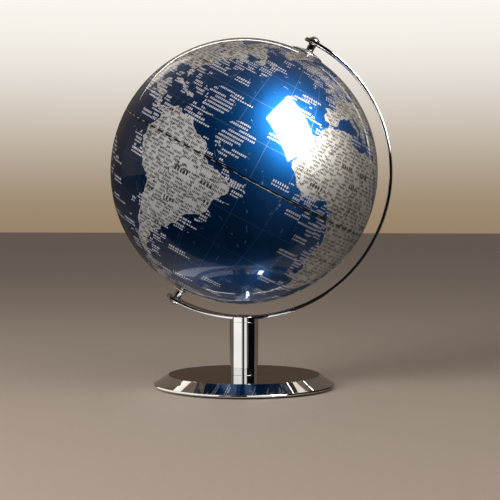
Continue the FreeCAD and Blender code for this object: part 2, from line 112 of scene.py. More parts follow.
# ---- coast outlines: longitude and latitude in degrees, going round each land or water ----
LAND = {
    "africa": """
        -6,35.8 -6.8,34 -9.6,31.4 -9.8,29.5 -12.9,27.9 -14.5,26 -16,23.8 -17,21 -16.2,19.5 -16.5,16
        -17.5,14.7 -16.8,12.5 -15,11 -13.3,9 -12.5,7.5 -9,5 -7.5,4.4 -4,5.2 -2,4.7 1,6 4.4,6.3 6,4.3
        8.5,4.7 9.7,3.8 9.3,1.2 8.8,-.7 11,-3.6 12.3,-6 13.4,-9 13.8,-11 12.5,-13.5 11.8,-16 12,-18
        14.5,-22.7 15,-26.5 16.5,-28.6 18.3,-32 18.4,-34 20,-34.8 22.5,-34 25.7,-34 28,-32.8
        31,-29.8 32.8,-27 32.6,-25.7 35.3,-24 35.5,-21.5 34.8,-19.8 37,-17.7 40.6,-15 40.6,-11
        39.5,-9 39.3,-6.8 38.8,-5.5 40.2,-2.6 42.7,-.8 46,2.7 48,4.7 49.8,8 51.2,11.8 48.5,11.2
        44.5,10.4 43.2,11.6 42.5,13.5 39.5,15.5 38.6,18 37.2,20 37,22 35.6,24 33.8,27.2 32.6,29.9
        32.3,31.2 31,31.5 29,30.9 25.2,31.6 23,32.6 20.1,32.3 20,30.8 18,30.3 15.3,32.3 11.5,33.2
        10.2,34.3 11,36.9 9.8,37.3 7,36.9 3,36.9 -1,35.8 -3,35.3 -5.3,35.8""",
    "eurasia": """
        31.5,30.6 32.3,31.2 34.2,31.3 35,32.8 35.9,35 36,36.8 34,36.3 32.5,36.1 30.6,36.8 29,36.3
        27.4,37 26.3,38.3 26.2,39.5 29,40.6 26.2,40.7 24,40.8 22.9,40.4 23.8,39 24,38 22.9,36.6
        21.3,37.5 20.8,38.8 19.4,40.5 19.4,42 17.5,43 15.2,44.3 13.6,45.6 12.3,45.3 12.4,44.2
        14,42.6 16,41.8 18.5,40 16.9,40.4 16.6,39.5 16.1,38 15.7,38 15.9,39.5 14.2,40.8 12.3,41.7
        10.4,43 8.8,44.4 6.5,43.1 4,43.5 3.1,42.3 .8,41 -.3,39.5 .2,38.7 -.8,37.6 -2.2,36.7
        -4.5,36.7 -5.6,36 -6.4,36.8 -8.9,37 -9.4,38.7 -8.8,41 -9.2,43.1 -7,43.6 -3.5,43.5
        -1.6,43.4 -1.1,45.5 -2.5,47.3 -4.7,48.2 -3,48.8 -1.6,48.7 -1.7,49.7 .2,49.5 1.6,50.8
        3.6,51.4 4.8,53 7,53.5 8.7,53.9 8.2,55.6 8.3,57 10.5,57.7 10.2,56.3 9.9,54.8 11,54
        13.5,54.4 18.6,54.6 21,55.7 21.2,57 22.5,57.6 24.3,57.2 23.6,59 28,59.6 30,60 25,60.2
        22,60.2 21.4,61.5 21.6,63 25.3,65 22.2,65.7 20.5,63.8 17.5,62 17.2,60.6 18.9,59.8 16.6,58
        16.3,56.5 14.3,55.5 12.9,55.5 11.2,58.8 10.4,59.2 8,58 5.6,58.8 5,61 6.5,62.8 10,64
        12.5,66 15,68.3 19,69.9 25,71 31,70.4 33,69.4 41,67.5 40,66.3 34.5,66.7 35,64.4 38,64
        40.5,64.7 42.5,66.4 44,68.3 46,67.8 48,67.6 54,68.3 60,68.8 67,69 66.8,71 69,72.9
        72.5,72.8 72.5,70 73.5,68 74.5,71 74.5,72.8 80.5,73.5 87,75.1 98,76.3 104,77.7 113,75.8
        113.5,73.6 123,73 129,71.2 133,71.6 140,72.5 150,71.6 160,69.7 170,69.8 180,69 190,66.2
        186,64.6 180,64.8 179.5,62.6 172,60.8 166,60.2 163,58 162.5,56.2 159.9,53 156.7,51
        155.7,55 156.8,57.8 163,61 160,61.8 155,59.3 148,59.4 142,59.3 137.5,56 135.2,54.7
        139.5,54 141.3,53 140.5,50 140,48.5 136,44.5 132,43.2 130.6,42.3 127.6,40 129.4,37
        129,35.2 126.4,34.5 126.6,37 125,38 125,39.6 121.6,38.9 121.8,40.8 118,39.1 119,37.4
        122.4,37.2 119.3,35.1 121.8,32 121.9,30.8 121.8,29 119.5,25.8 117,23.7 114,22.4
        110.5,21.2 108.2,21.6 106,19.5 107,16.8 109.2,13 109,11.6 106.7,10.2 105,8.7 104.8,10.4
        102.5,12 101,13.4 100,13.3 99.3,10 100.4,7.3 102.2,6.2 103.5,4 104.2,1.4 103.4,1.4
        101.3,3 100.3,5.6 98.3,8 98.6,12 97.6,16.3 95.3,15.8 94.3,16.2 94.3,18.5 92.3,20.8
        91.8,22.4 89,21.8 87,21.4 85,19.6 82.3,16.7 80.3,15.8 80.2,13 79.9,10.3 78.2,8.9
        77.5,8.1 76.3,9.9 74.8,13 73.5,16 72.8,19 72.7,21.3 70.2,20.9 69,22.3 67.3,24.8 62,25.2
        57.3,25.8 56.6,27.1 53.8,26.7 51.5,27.8 50.2,30 48.6,30 48,29.4 49.6,27.2 50.2,25.8
        51.2,26 51.6,24.3 54,24.2 56.3,26.2 56.6,24.4 59.8,22.5 57.8,19 55.2,17.4 52.2,15.7
        48.7,14 45,12.8 43.4,12.7 42.7,16 40.8,19.5 39.2,21.3 38.4,23.6 35.2,28 34.9,29.5
        34.3,27.8 32.6,29.9""",
    "north america": """
        -77.3,8.2 -79.5,9.5 -81.5,9 -83.5,10.5 -83.4,14.5 -83.3,15.3 -87.5,15.8 -88.5,16 -87.7,18.5
        -87,21.3 -90.3,21.1 -91.3,18.6 -94.5,18.1 -97.2,20.5 -97.6,24.5 -97.2,27.7 -94.8,29.3
        -91,29.3 -89.3,29.2 -88,30.4 -84.3,30 -82.8,28 -81.8,26 -80.4,25.2 -80.1,27 -81.4,30.7
        -79,33.3 -76,35 -75.8,37 -74.2,39.6 -72,41 -70,41.7 -70.7,43.2 -67,44.7 -65.8,43.6
        -63.5,44.6 -60.2,46 -64.2,46.2 -65,48.9 -68,48.8 -66.5,50.2 -60,50.2 -55.8,52.3
        -57.5,54.7 -61.5,56.5 -64.5,60.3 -69.5,58.8 -70,61 -74,62.3 -78,62.4 -77.3,60 -78.5,58.7
        -76.6,57 -79.2,55 -79,51.5 -80.3,51.3 -82.3,53 -82.3,55.1 -87.7,56.4 -92.5,57 -94.6,58.9
        -94.5,60.5 -92,62.7 -88,64.2 -86.5,66.4 -82,66.7 -82,69.5 -85.5,69.7 -88.5,68.6
        -94.5,71.9 -96,68.3 -102,67.8 -108,67.7 -115,68.2 -114,69.3 -122,69.8 -128,70.5 -136,69
        -142,69.7 -150,70.5 -156.7,71.3 -163,69.8 -166.5,68.3 -162,66.4 -168,65.6 -161,64.4
        -164.8,62.8 -166,61.6 -162,59.8 -158,58.7 -158.5,57 -163.5,55 -160,55.6 -154.5,57.8
        -152,60 -149,60 -146,61 -140,59.8 -137,58.5 -133.5,56 -130.5,54.5 -128,51.8 -124.8,49.4
        -123,48.8 -124.7,48.2 -124,46 -124.4,42.5 -123.8,39.5 -122.4,37.3 -120.6,34.6 -118.3,33.8
        -117.1,32.5 -115.5,29.6 -114,27 -112.2,25 -110,23 -109.6,23.4 -111.2,26 -113,29.5
        -114.8,31.6 -112.8,31 -110.8,28 -109.3,26 -106,22.9 -105.5,20.3 -103.5,18.3 -99,16.6
        -95,16 -92,14.5 -87.7,13 -85.8,11 -83.8,9 -82.8,8.1 -80.3,7.4 -79,8.9 -77.8,7.5""",
    "south america": """
        -77.8,8.4 -75.5,10.6 -74.3,11.1 -71.7,12.3 -71.3,11 -70,11.8 -68.2,10.7 -64,10.2 -62,10.7
        -60.8,9 -59.5,8.3 -57,6 -52.5,5 -50.8,3 -50,.5 -48.5,-1 -44.5,-2.6 -41.5,-2.9 -38.5,-3.7
        -35.4,-5.2 -34.8,-7.5 -35.7,-9.6 -37.2,-11.4 -38.6,-13 -39,-16 -39.7,-19 -41,-22 -43,-23
        -46.4,-24.1 -48.5,-26 -48.7,-28.4 -50.5,-30.4 -53.4,-33.8 -55,-34.9 -58,-34.3 -57,-36.5
        -57.8,-38.1 -62,-39 -62.3,-40.8 -65,-41 -63.7,-42.5 -65.4,-45 -67.5,-46.3 -65.8,-47.8
        -68.8,-50.4 -68.4,-52.5 -65.3,-54.8 -69,-55.4 -73,-53.4 -75.3,-50 -75,-46.8 -72.8,-42
        -73.6,-38 -71.6,-33 -71.4,-29 -70.3,-23.5 -70.2,-18.7 -75,-15.5 -77.2,-12 -79.7,-7.2
        -81.2,-5 -80.3,-3.4 -80.8,-1.5 -80,.8 -78.7,1.8 -77.2,4 -77.5,7""",
    "australia": """
        113.5,-22 114,-25.5 115.7,-31.5 115,-34.3 118,-35 123.5,-34 126,-32.3 131,-31.5
        135.2,-34.7 138,-33 138.4,-35.5 140,-37.8 143.5,-38.8 146.3,-39 149.9,-37.4 151.2,-33.8
        153.4,-29 153,-25 149.5,-22 146.3,-19 145.4,-15 142.5,-10.8 141.6,-14 140.8,-17.4
        136,-15.5 136.8,-12.2 132.5,-11.4 130.5,-12.6 129.2,-15 126.5,-14 123.5,-17 122,-18.2
        119,-20 115,-21.5""",
    "antarctica": """
        -180,-78 -160,-77.5 -150,-77 -135,-74.5 -115,-74 -100,-73 -85,-73.5 -75,-72.5 -68,-68
        -62,-64.8 -57,-63.4 -60,-67 -62,-73 -60,-75 -45,-78 -30,-76.5 -18,-73 0,-70.5 15,-69.8
        33,-68.8 40,-69.5 55,-66.3 70,-68.5 75,-69.5 82,-67 100,-66 115,-66.7 130,-66.3 145,-67
        160,-70 170,-72 164,-78 180,-78 180,-90 -180,-90""",
    "greenland": """
        -43,60 -40,64 -32,68 -22,70.5 -19.5,75.5 -12,81.5 -33,83.5 -55,82.3 -68,80 -70,77 -60,76
        -54,72 -51,69 -53.5,66.8 -51,63 -48,61""",
    "great britain": """
        -5.7,50.1 -3.5,50.3 1.3,51.1 1.7,52.6 .2,53.3 -1.2,54.6 -3,56 -2,57.6 -4,57.7 -3.2,58.6
        -5.1,58.5 -6.2,56.8 -4.8,55.6 -5,54.7 -3,54 -4.6,53.3 -5.2,51.8 -3,51.4""",
    "ireland": "-6,52.2 -9.8,51.6 -10,54.2 -7.3,55.3 -5.6,54.5",
    "iceland": "-22.5,64 -18.7,63.4 -13.7,64.9 -15,66.3 -21,66 -24,65.6",
    "svalbard": "11,79 15,76.8 21,78.5 26,80 18,80.3",
    "novaya zemlya": "52,71 57,70.7 56,73 68,76.7 60,76.2 53.5,73",
    "madagascar": "44,-25 47,-25.2 50.3,-15.5 49.2,-12 46.5,-15.7 44.4,-16.3 44.4,-20 43.4,-22",
    "sri lanka": "79.8,8.6 81.7,7.5 80.6,6 79.9,7",
    "sumatra": "95.4,5.6 98.6,3.7 103.5,-.5 106,-3 105.6,-5.8 102.3,-4 98.8,1",
    "java": "105.3,-6.8 108.5,-6.7 112.6,-6.9 114.4,-8.3 110,-8.1 106.5,-7.4",
    "borneo": """
        109,1.5 111.4,2.4 115,5 117,7 119,5 117.7,3 117.5,0 116.2,-3.8 113,-3.2 110.2,-2.8
        109.1,0""",
    "sulawesi": "119.5,-5.5 120.4,-3 121.5,-4.7 122.4,-3.3 121,-1.4 124.9,1.5 120.2,1 119,-2.5",
    "new guinea": """
        131,-.8 134.2,-.9 135,-3.3 138,-1.7 141,-2.6 147.5,-6 150.8,-10.4 147,-9.5 143,-8.7
        141,-9.1 138,-8.4 137.8,-5.3 133.5,-4 132,-2.8""",
    "luzon": "120.6,18.5 122.2,18.4 121.6,15.8 124,13 120.7,13.9 120,16",
    "mindanao": "122,7 125.5,9.8 126.5,7.3 125.5,5.7 123.8,7.4",
    "taiwan": "121,25.2 121.9,25 120.9,22 120.1,23.2",
    "hainan": "108.8,19.3 110.8,20 109.6,18.3",
    "honshu": """
        130,33.2 131,34.3 133,35.5 136,35.8 137,37.2 139.5,38.5 140.2,41.2 141.5,41.3 142,39.5
        140.9,36 139,34.8 135.8,33.6 133,33.3 131.5,31.4 130.3,31.3""",
    "hokkaido": "140.3,41.6 141.6,45.4 145.3,43.8 143.3,42.1",
    "sakhalin": "142,46 141.8,53 143,54.3 143.5,49.5 143.5,46.8",
    "tasmania": "144.7,-40.8 148.3,-41 147.5,-43.5 145.8,-43.3",
    "new zealand north": """
        172.8,-34.5 175.5,-36.7 178.4,-37.7 176.9,-39.5 175.2,-41.5 173.8,-39.3 174.8,-38""",
    "new zealand south": """
        172.7,-40.6 174.2,-41.7 172.8,-43.7 170.6,-45.9 168.6,-46.6 166.5,-46 168.3,-44
        171.3,-42""",
    "baffin": """
        -72,62 -65.5,62 -62,66.5 -68,70 -80,73.7 -89,73.4 -85,71 -79,70 -73,67.5 -73,64.5
        -78,64.5""",
    "victoria": "-117,73 -105,73.3 -101,69.5 -107,69 -116.5,70",
    "ellesmere": "-90,81 -70,83.1 -62,82.3 -75,79 -80,76.3 -90,76.5",
    "banks": "-124,71.5 -123,74.3 -117.5,73.5 -123,71.3",
    "newfoundland": "-59.3,47.7 -56,47 -53,46.7 -53,48.6 -55.7,51.5 -57.5,50.5",
    "cuba": "-85,22 -82,23.2 -77.3,21.7 -74.2,20.3 -77.6,19.9 -78.5,21",
    "hispaniola": "-74.4,18.5 -72.8,20 -69,19.2 -68.5,18.3 -71.4,17.7",
    "jamaica": "-78.3,18.3 -76.3,18.1 -77.2,17.8",
}
WATER = {
    "black sea": """
        28.6,41.4 31.3,41.3 35,42.1 38.5,41 41.6,41.6 39,44.2 37.5,45.2 38.2,47 35,46.3
        36.4,45.3 33.5,44.6 33,46 30.8,46.5 28.7,44 27.7,42.6""",
    "caspian": """
        47.5,43 47,45 49,46.5 53,46.9 53,45.2 51,44.5 50.8,43 53,41.7 53.8,39.5 53.9,37 51,36.7
        49,37.6 49.3,40.2 48,42""",
    "superior": "-92,46.8 -88,48.7 -84.8,46.6 -87.5,46.6",
    "michigan": "-87.8,42.5 -86.3,42 -86.2,44 -84.8,45.8 -87.5,45.4",
    "huron": "-84,45.8 -81.7,45.9 -80,44.6 -81.7,43.2 -83.5,44",
    "victoria lake": "31.8,-1 32.5,.3 34,.2 33.8,-2 32.2,-2.6",
    "baikal": "104,51.6 106.5,52.6 109.5,55.6 109.8,55 107.5,52.6",
}
# longitude, latitude and reach in degrees of the seas where long name rows are stacked
STACKED_LABELS = ((-42, 11, 8), (-58, 22, 7), (2, -4, 6), (-24, 36, 6), (-20, 62, 7),
                  (70, -5, 8), (135, 10, 8), (-150, 15, 9), (-110, -20, 9), (100, -35, 8))
OUTLINE_STEP = 2.0          # degrees: longer coast runs are cut into pieces no longer than this
COAST_REACH = 0.16          # radians: the coast is not measured further away than this
SOUTH_EDGE = -89            # degrees: an outline's closing run along the pole is no coast


def read_outlines(table):
    """Outlines as arrays of (longitude, latitude) rows."""
    return {name: np.array([[float(n) for n in pair.split(",")] for pair in text.split()])
            for name, text in table.items()}


def inside(outline, east, north):
    """Which places lie inside an outline, by counting the edges crossed."""
    found = np.zeros(len(east), bool)
    for (ax, ay), (bx, by) in zip(outline, np.roll(outline, -1, axis=0)):
        if ay == by:
            continue
        crossed = (ay > north) != (by > north)
        found ^= crossed & (east < (bx - ax) * (north - ay) / (by - ay) + ax)
    return found


def on_land(east, north):
    """Which places are land. Outlines that pass 180 degrees are tried one turn on as well."""
    land = np.zeros(len(east), bool)
    for outline in read_outlines(LAND).values():
        land |= inside(outline, east, north)
        if outline[:, 0].max() > 180:
            land |= inside(outline, east + 360, north)
    for outline in read_outlines(WATER).values():
        land &= ~inside(outline, east, north)
    return land


def on_unit_sphere(degrees):
    east, north = np.radians(degrees).T
    return np.stack([np.cos(north) * np.cos(east), np.cos(north) * np.sin(east),
                     np.sin(north)], axis=1)


def coast_runs():
    """The ends of short straight coast runs, leaving out seams between outlines."""
    lands = read_outlines(LAND)
    starts, ends, owners = [], [], []
    for name, outline in {**lands, **read_outlines(WATER)}.items():
        for a, b in zip(outline, np.roll(outline, -1, axis=0)):
            if min(a[1], b[1]) < SOUTH_EDGE or (abs(a[0]) == 180 and abs(b[0]) == 180):
                continue
            count = max(1, math.ceil(np.abs(b - a).max() / OUTLINE_STEP))
            cuts = a + (b - a) * np.linspace(0, 1, count + 1)[:, None]
            starts.append(cuts[:-1])
            ends.append(cuts[1:])
            owners += [name] * count
    starts, ends, owners = np.concatenate(starts), np.concatenate(ends), np.array(owners)
    middles = (starts + ends) / 2
    kept = np.ones(len(starts), bool)
    for name, outline in lands.items():
        others = (owners != name) & np.isin(owners, list(lands))
        kept &= ~(others & inside(outline, middles[:, 0], middles[:, 1]))
    return on_unit_sphere(starts[kept]), on_unit_sphere(ends[kept])


def coast_distance(directions):
    """Distance to the nearest coast in millimetres on the ball, positive on land."""
    east = np.degrees(np.arctan2(directions[:, 1], directions[:, 0]))
    north = np.degrees(np.arcsin(np.clip(directions[:, 2], -1, 1)))
    nearest = np.full(len(directions), COAST_REACH)
    for a, b in zip(*coast_runs()):
        middle = (a + b) / 2
        close = np.flatnonzero(directions @ middle > math.cos(COAST_REACH))
        if not len(close):
            continue
        points = directions[close]
        run = b - a
        along = np.clip((points - a) @ run / (run @ run), 0, 1)
        gap = np.linalg.norm(points - a - along[:, None] * run, axis=1)
        nearest[close] = np.minimum(nearest[close], gap)
    sign = np.where(on_land(east, north), 1, -1)
    return sign * nearest * BALL_RADIUS / MM


# ---- mesh making ----
def new_object(name, data):
    thing = bpy.data.objects.new(name, data)
    bpy.context.scene.collection.objects.link(thing)
    return thing


def make_object(name, vertices, faces):
    mesh = bpy.data.meshes.new(name)
    mesh.from_pydata(vertices, [], faces)
    mesh.validate()
    return new_object(name, mesh)


def turn_outwards(mesh):
    """Flip a closed mesh whose faces point inwards, told by its signed volume."""
    mesh.calc_loop_triangles()
    points = np.array([v.co for v in mesh.vertices])
    corners = np.array([t.vertices for t in mesh.loop_triangles])
    a, b, c = (points[corners[:, i]] for i in range(3))
    if np.einsum("ij,ij->i", a, np.cross(b, c)).sum() < 0:
        mesh.flip_normals()


def rounded(corners, steps=4):
    """An outline whose corners (r, z, radius) are turned as arcs; (r, z) stays sharp."""
    count = len(corners)
    outline = []
    for i, corner in enumerate(corners):
        here = np.array(corner[:2])
        radius = corner[2] if len(corner) == 3 else 0.0
        if radius == 0:
            outline.append(tuple(here))
            continue
        back = np.array(corners[i - 1][:2]) - here
        on = np.array(corners[(i + 1) % count][:2]) - here
        back_length, on_length = np.linalg.norm(back), np.linalg.norm(on)
        back, on = back / back_length, on / on_length
        half = math.acos(np.clip(back @ on, -1, 1)) / 2
        reach = min(radius / math.tan(half), 0.45 * back_length, 0.45 * on_length)
        radius = reach * math.tan(half)
        centre = here + (back + on) / np.linalg.norm(back + on) * radius / math.sin(half)
        first, last = here + back * reach - centre, here + on * reach - centre
        sweep = math.acos(np.clip(first @ last / radius ** 2, -1, 1))
        for step in range(steps + 1):
            share = step / steps
            spoke = (math.sin((1 - share) * sweep) * first
                     + math.sin(share * sweep) * last) / math.sin(sweep)
            outline.append(tuple(centre + spoke))
    return outline


def lathe(name, outline, place, steps):
    """A closed solid of revolution from a closed outline of (radius, height)."""
    vertices, rings, faces = [], [], []
    turns = np.linspace(0, 2 * math.pi, steps, endpoint=False)
    cosines, sines = np.cos(turns), np.sin(turns)
    for radius, level in outline:
        first = len(vertices)
        if radius < SAME:
            vertices.append((0.0, 0.0, level))
            rings.append([first] * steps)
        else:
            vertices += list(zip(radius * cosines, radius * sines, [level] * steps))
            rings.append(list(range(first, first + steps)))
    for lower, upper in zip(rings, rings[1:] + rings[:1]):
        point_lower, point_upper = lower[0] == lower[1], upper[0] == upper[1]
        if point_lower and point_upper:
            continue
        for i in range(steps):
            j = (i + 1) % steps
            if point_lower:
                faces.append((lower[i], upper[j], upper[i]))
            elif point_upper:
                faces.append((lower[i], lower[j], upper[i]))
            else:
                faces.append((lower[i], lower[j], upper[j], upper[i]))
    thing = make_object(name, vertices, faces)
    thing.data.transform(place)
    turn_outwards(thing.data)
    thing.data.shade_smooth()
    return thing


def plain_mesh(thing):
    """An object's shape, with its modifiers at work, as a mesh of its own."""
    bpy.context.view_layer.update()
    evaluated = thing.evaluated_get(bpy.context.evaluated_depsgraph_get())
    return bpy.data.meshes.new_from_object(evaluated)


def settle(thing):
    """Turn an object with modifiers into a plain mesh."""
    mesh = plain_mesh(thing)
    thing.modifiers.clear()
    thing.data = mesh
    mesh.name = thing.name
    return thing


def cut(thing, cutters):
    """Cut solids away from a piece and remove them."""
    for cutter in cutters:
        difference = thing.modifiers.new("cut", "BOOLEAN")
        difference.operation = "DIFFERENCE"
        difference.solver = "EXACT"
        difference.object = cutter
    settle(thing)
    for cutter in cutters:
        bpy.data.objects.remove(cutter)
    return thing


def crisp(thing, bevel=0.0):
    """Bevel a cut piece's edges if asked, then shade it so that its flats stay flat."""
    if bevel:
        edges = thing.modifiers.new("edges", "BEVEL")
        edges.width = bevel
        edges.segments = 2
        edges.limit_method = "ANGLE"
        edges.angle_limit = math.radians(40)
    thing.data.shade_smooth()
    normals = thing.modifiers.new("normals", "WEIGHTED_NORMAL")
    normals.weight = 100
    return settle(thing)


def hand_over(thing, material, body, slot, *nodes):
    """Give a finished piece its material and its body, and hide the CAD nodes it stands for."""
    thing.data.materials.clear()
    thing.data.materials.append(material)
    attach(thing, body)
    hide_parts(*nodes)


def turn_piece(name, corners, place, steps, material, body, slot, node):
    """Turn a piece from its outline's corners and hand it over for its CAD node."""
    piece = crisp(lathe(name, rounded(corners), place, steps))
    hand_over(piece, material, body, slot, node)


# ---- material making ----
def linear(colour):
    """A linear colour from an sRGB hex value such as #1f5fa8."""
    parts = [int(colour[i:i + 2], 16) / 255 for i in (1, 3, 5)]
    parts = [p / 12.92 if p <= 0.04045 else ((p + 0.055) / 1.055) ** 2.4 for p in parts]
    return (*parts, 1.0)


def add(tree, kind, *values, sockets=None, out=0, **settings):
    """Add a node with its settings, its sockets in order or by name, and give one output."""
    node = tree.nodes.new(kind)
    for name, value in settings.items():
        setattr(node, name, value)
    given = dict(enumerate(values))
    given.update(sockets or {})
    for key, value in given.items():
        if isinstance(value, bpy.types.NodeSocket):
            tree.links.new(value, node.inputs[key])
        elif value is not None:
            node.inputs[key].default_value = value
    return node.outputs[out] if node.outputs else node


def new_material(name):
    """An empty material and its node tree."""
    material = bpy.data.materials.new(name)
    material.use_nodes = True
    material.node_tree.nodes.clear()
    return material, material.node_tree


def polished_chrome(colour):
    """Bright chromium plate over polished steel or zinc: a near mirror, slightly cool,
    with faint buffing haze and a few hairline wipe marks."""
    material, tree = new_material("polished_chrome_plate")
    place = add(tree, "ShaderNodeTexCoord", out="Object")
    # level wipe marks 1.6 mm long and a twentieth of that wide
    stretched = add(tree, "ShaderNodeMapping", place, sockets={"Scale": (1, 1, 20)})
    wipes = add(tree, "ShaderNodeTexNoise", stretched, sockets={"Scale": 1000 / 1.6,
                                                                "Detail": 3.0})
    # cloudy haze from handling, patches of about 30 mm
    haze = add(tree, "ShaderNodeTexNoise", place, sockets={"Scale": 33.0, "Detail": 2.0})
    both = add(tree, MATH, wipes, haze, operation="MULTIPLY")
    rough = add(tree, "ShaderNodeMapRange", both, 0.15, 0.4, 0.02, 0.055)
    tone = add(tree, "ShaderNodeMapRange", haze, 0.35, 0.65, 0.0, 1.0)
    plate = add(tree, MIX, tone, sockets={6: linear(colour), 7: linear("#d4d5d8")}, **COLOURS)
    shader = add(tree, "ShaderNodeBsdfPrincipled", sockets={
        "Base Color": plate, "Metallic": 1.0, "Roughness": rough})
    add(tree, "ShaderNodeOutputMaterial", shader)
    return material


def zinc_plated_steel():
    """Bright zinc plate on turned steel screws: soft grey metal with fine turning rings."""
    material, tree = new_material("zinc_plated_steel")
    place = add(tree, "ShaderNodeTexCoord", out="Object")
    # turning marks: about 0.1 mm apart on a real screw, drawn 0.6 mm apart so that they show
    rings = add(tree, "ShaderNodeTexWave", place, bands_direction="Z",
                sockets={"Scale": WAVE / (0.592 * MM), "Distortion": 1.5})
    # crystal clouds in the plate, patches of 2.5 mm
    spots = add(tree, "ShaderNodeTexNoise", place, sockets={"Scale": 400.0, "Detail": 2.0})
    tone = add(tree, MIX, spots, sockets={6: linear("#8f9296"), 7: linear("#b9bcc0")}, **COLOURS)
    rough = add(tree, "ShaderNodeMapRange", spots, 0.3, 0.7, 0.28, 0.42)
    bump = add(tree, "ShaderNodeBump", sockets={"Height": rings, "Strength": 0.15,
                                                "Distance": 0.00002})
    shader = add(tree, "ShaderNodeBsdfPrincipled", sockets={
        "Base Color": tone, "Metallic": 1.0, "Roughness": rough, "Normal": bump})
    add(tree, "ShaderNodeOutputMaterial", shader)
    return material


def moulded_plastic(name, colour, shade, grain, rough):
    """Injection-moulded plastic: even colour, very fine texture from the tool's spark finish.

    grain is the texture's size in mm, given coarser than the real 0.1 mm so that it shows.
    """
    material, tree = new_material(name)
    place = add(tree, "ShaderNodeTexCoord", out="Object")
    speckle = add(tree, "ShaderNodeTexNoise", place,
                  sockets={"Scale": 1000 / grain, "Detail": 2.0})
    # flow marks in the colour, 17 mm across
    flow = add(tree, "ShaderNodeTexNoise", place, sockets={"Scale": 60.0, "Detail": 2.0})
    tone = add(tree, MIX, flow, sockets={6: linear(colour), 7: linear(shade)}, **COLOURS)
    bump = add(tree, "ShaderNodeBump", sockets={"Height": speckle, "Strength": 0.2,
                                                "Distance": 0.00004})
    shader = add(tree, "ShaderNodeBsdfPrincipled", sockets={
        "Base Color": tone, "Roughness": rough, "IOR": 1.53, "Normal": bump})
    add(tree, "ShaderNodeOutputMaterial", shader)
    return material


def printed_ring():
    """Black ABS ring, moulded, its edge hot-foiled with silver blocks: a scale of degrees that
    shows in the seam between the ball's halves."""
    material, tree = new_material("black_abs_with_foiled_scale")
    place = add(tree, "ShaderNodeTexCoord", out="Object")
    polar = add(tree, "ShaderNodeMapping", place, *POLAR_PLACE, vector_type="TEXTURE")
    x, y, _ = add(tree, "ShaderNodeSeparateXYZ", polar).node.outputs
    angle = add(tree, MATH, y, x, operation="ARCTAN2")
    longitude = add(tree, MATH, angle, look().map_turn, operation="ADD")
    # one block to each step, as on the map beside them
    steps = add(tree, MATH, longitude, SCALE_STEP, operation="DIVIDE")
    foil = add(tree, MATH, add(tree, MATH, steps, operation="FRACT"), 0.66,
               operation="GREATER_THAN")
    tone = add(tree, MIX, foil, sockets={6: linear("#0b0b0c"), 7: linear("#8f8e8a")}, **COLOURS)
    shader = add(tree, "ShaderNodeBsdfPrincipled", sockets={
        "Base Color": tone, "Roughness": 0.35, "IOR": 1.53})
    add(tree, "ShaderNodeOutputMaterial", shader)
    return material


def painted_cast_iron():
    """Sand-cast iron under thin dark paint: pebbled skin, rust freckles at the high spots."""
    material, tree = new_material("painted_cast_iron")
    place = add(tree, "ShaderNodeTexCoord", out="Object")
    # sand grain of 0.6 mm, rust freckles in patches of 5 mm
    sand = add(tree, "ShaderNodeTexNoise", place, sockets={"Scale": 1600.0, "Detail": 4.0})
    freckles = add(tree, "ShaderNodeTexNoise", place, sockets={"Scale": 200.0, "Detail": 6.0})
    rust = add(tree, "ShaderNodeMapRange", freckles, 0.62, 0.70, 0.0, 0.7)
    tone = add(tree, MIX, rust, sockets={6: linear("#26282b"), 7: linear("#5a3a28")}, **COLOURS)
    bump = add(tree, "ShaderNodeBump", sockets={"Height": sand, "Strength": 0.5,
                                                "Distance": 0.0003})
    shader = add(tree, "ShaderNodeBsdfPrincipled", sockets={
        "Base Color": tone, "Roughness": 0.62, "Normal": bump})
    add(tree, "ShaderNodeOutputMaterial", shader)
    return material


def powder_coated_steel():
    """Black powder coat on sheet steel: orange-peel skin with a soft sheen."""
    material, tree = new_material("black_powder_coat")
    place = add(tree, "ShaderNodeTexCoord", out="Object")
    # orange peel of about 1.2 mm
    peel = add(tree, "ShaderNodeTexNoise", place, sockets={"Scale": 800.0, "Detail": 1.0})
    tone = add(tree, MIX, peel, sockets={6: linear("#141517"), 7: linear("#1d1e21")}, **COLOURS)
    bump = add(tree, "ShaderNodeBump", sockets={"Height": peel, "Strength": 0.25,
                                                "Distance": 0.0001})
    shader = add(tree, "ShaderNodeBsdfPrincipled", sockets={
        "Base Color": tone, "Roughness": 0.45, "Normal": bump})
    add(tree, "ShaderNodeOutputMaterial", shader)
    return material


def foam_sheet():
    """Closed-cell foam sheet, die cut: dull black with open pores on its faces."""
    material, tree = new_material("closed_cell_foam")
    place = add(tree, "ShaderNodeTexCoord", out="Object")
    # cells of 0.8 mm
    cells = add(tree, "ShaderNodeTexVoronoi", place, sockets={"Scale": 1250.0})
    depth = add(tree, "ShaderNodeMapRange", cells, 0.0, 0.6, 0.0, 1.0)
    # each pore is drawn darker towards its floor: painted shade in the pores
    tone = add(tree, MIX, depth, sockets={6: linear("#0d0d0e"), 7: linear("#232426")}, **COLOURS)
    bump = add(tree, "ShaderNodeBump", sockets={"Height": depth, "Strength": 0.6,
                                                "Distance": 0.0003})
    shader = add(tree, "ShaderNodeBsdfPrincipled", sockets={
        "Base Color": tone, "Roughness": 0.9, "Normal": bump})
    add(tree, "ShaderNodeOutputMaterial", shader)
    return material


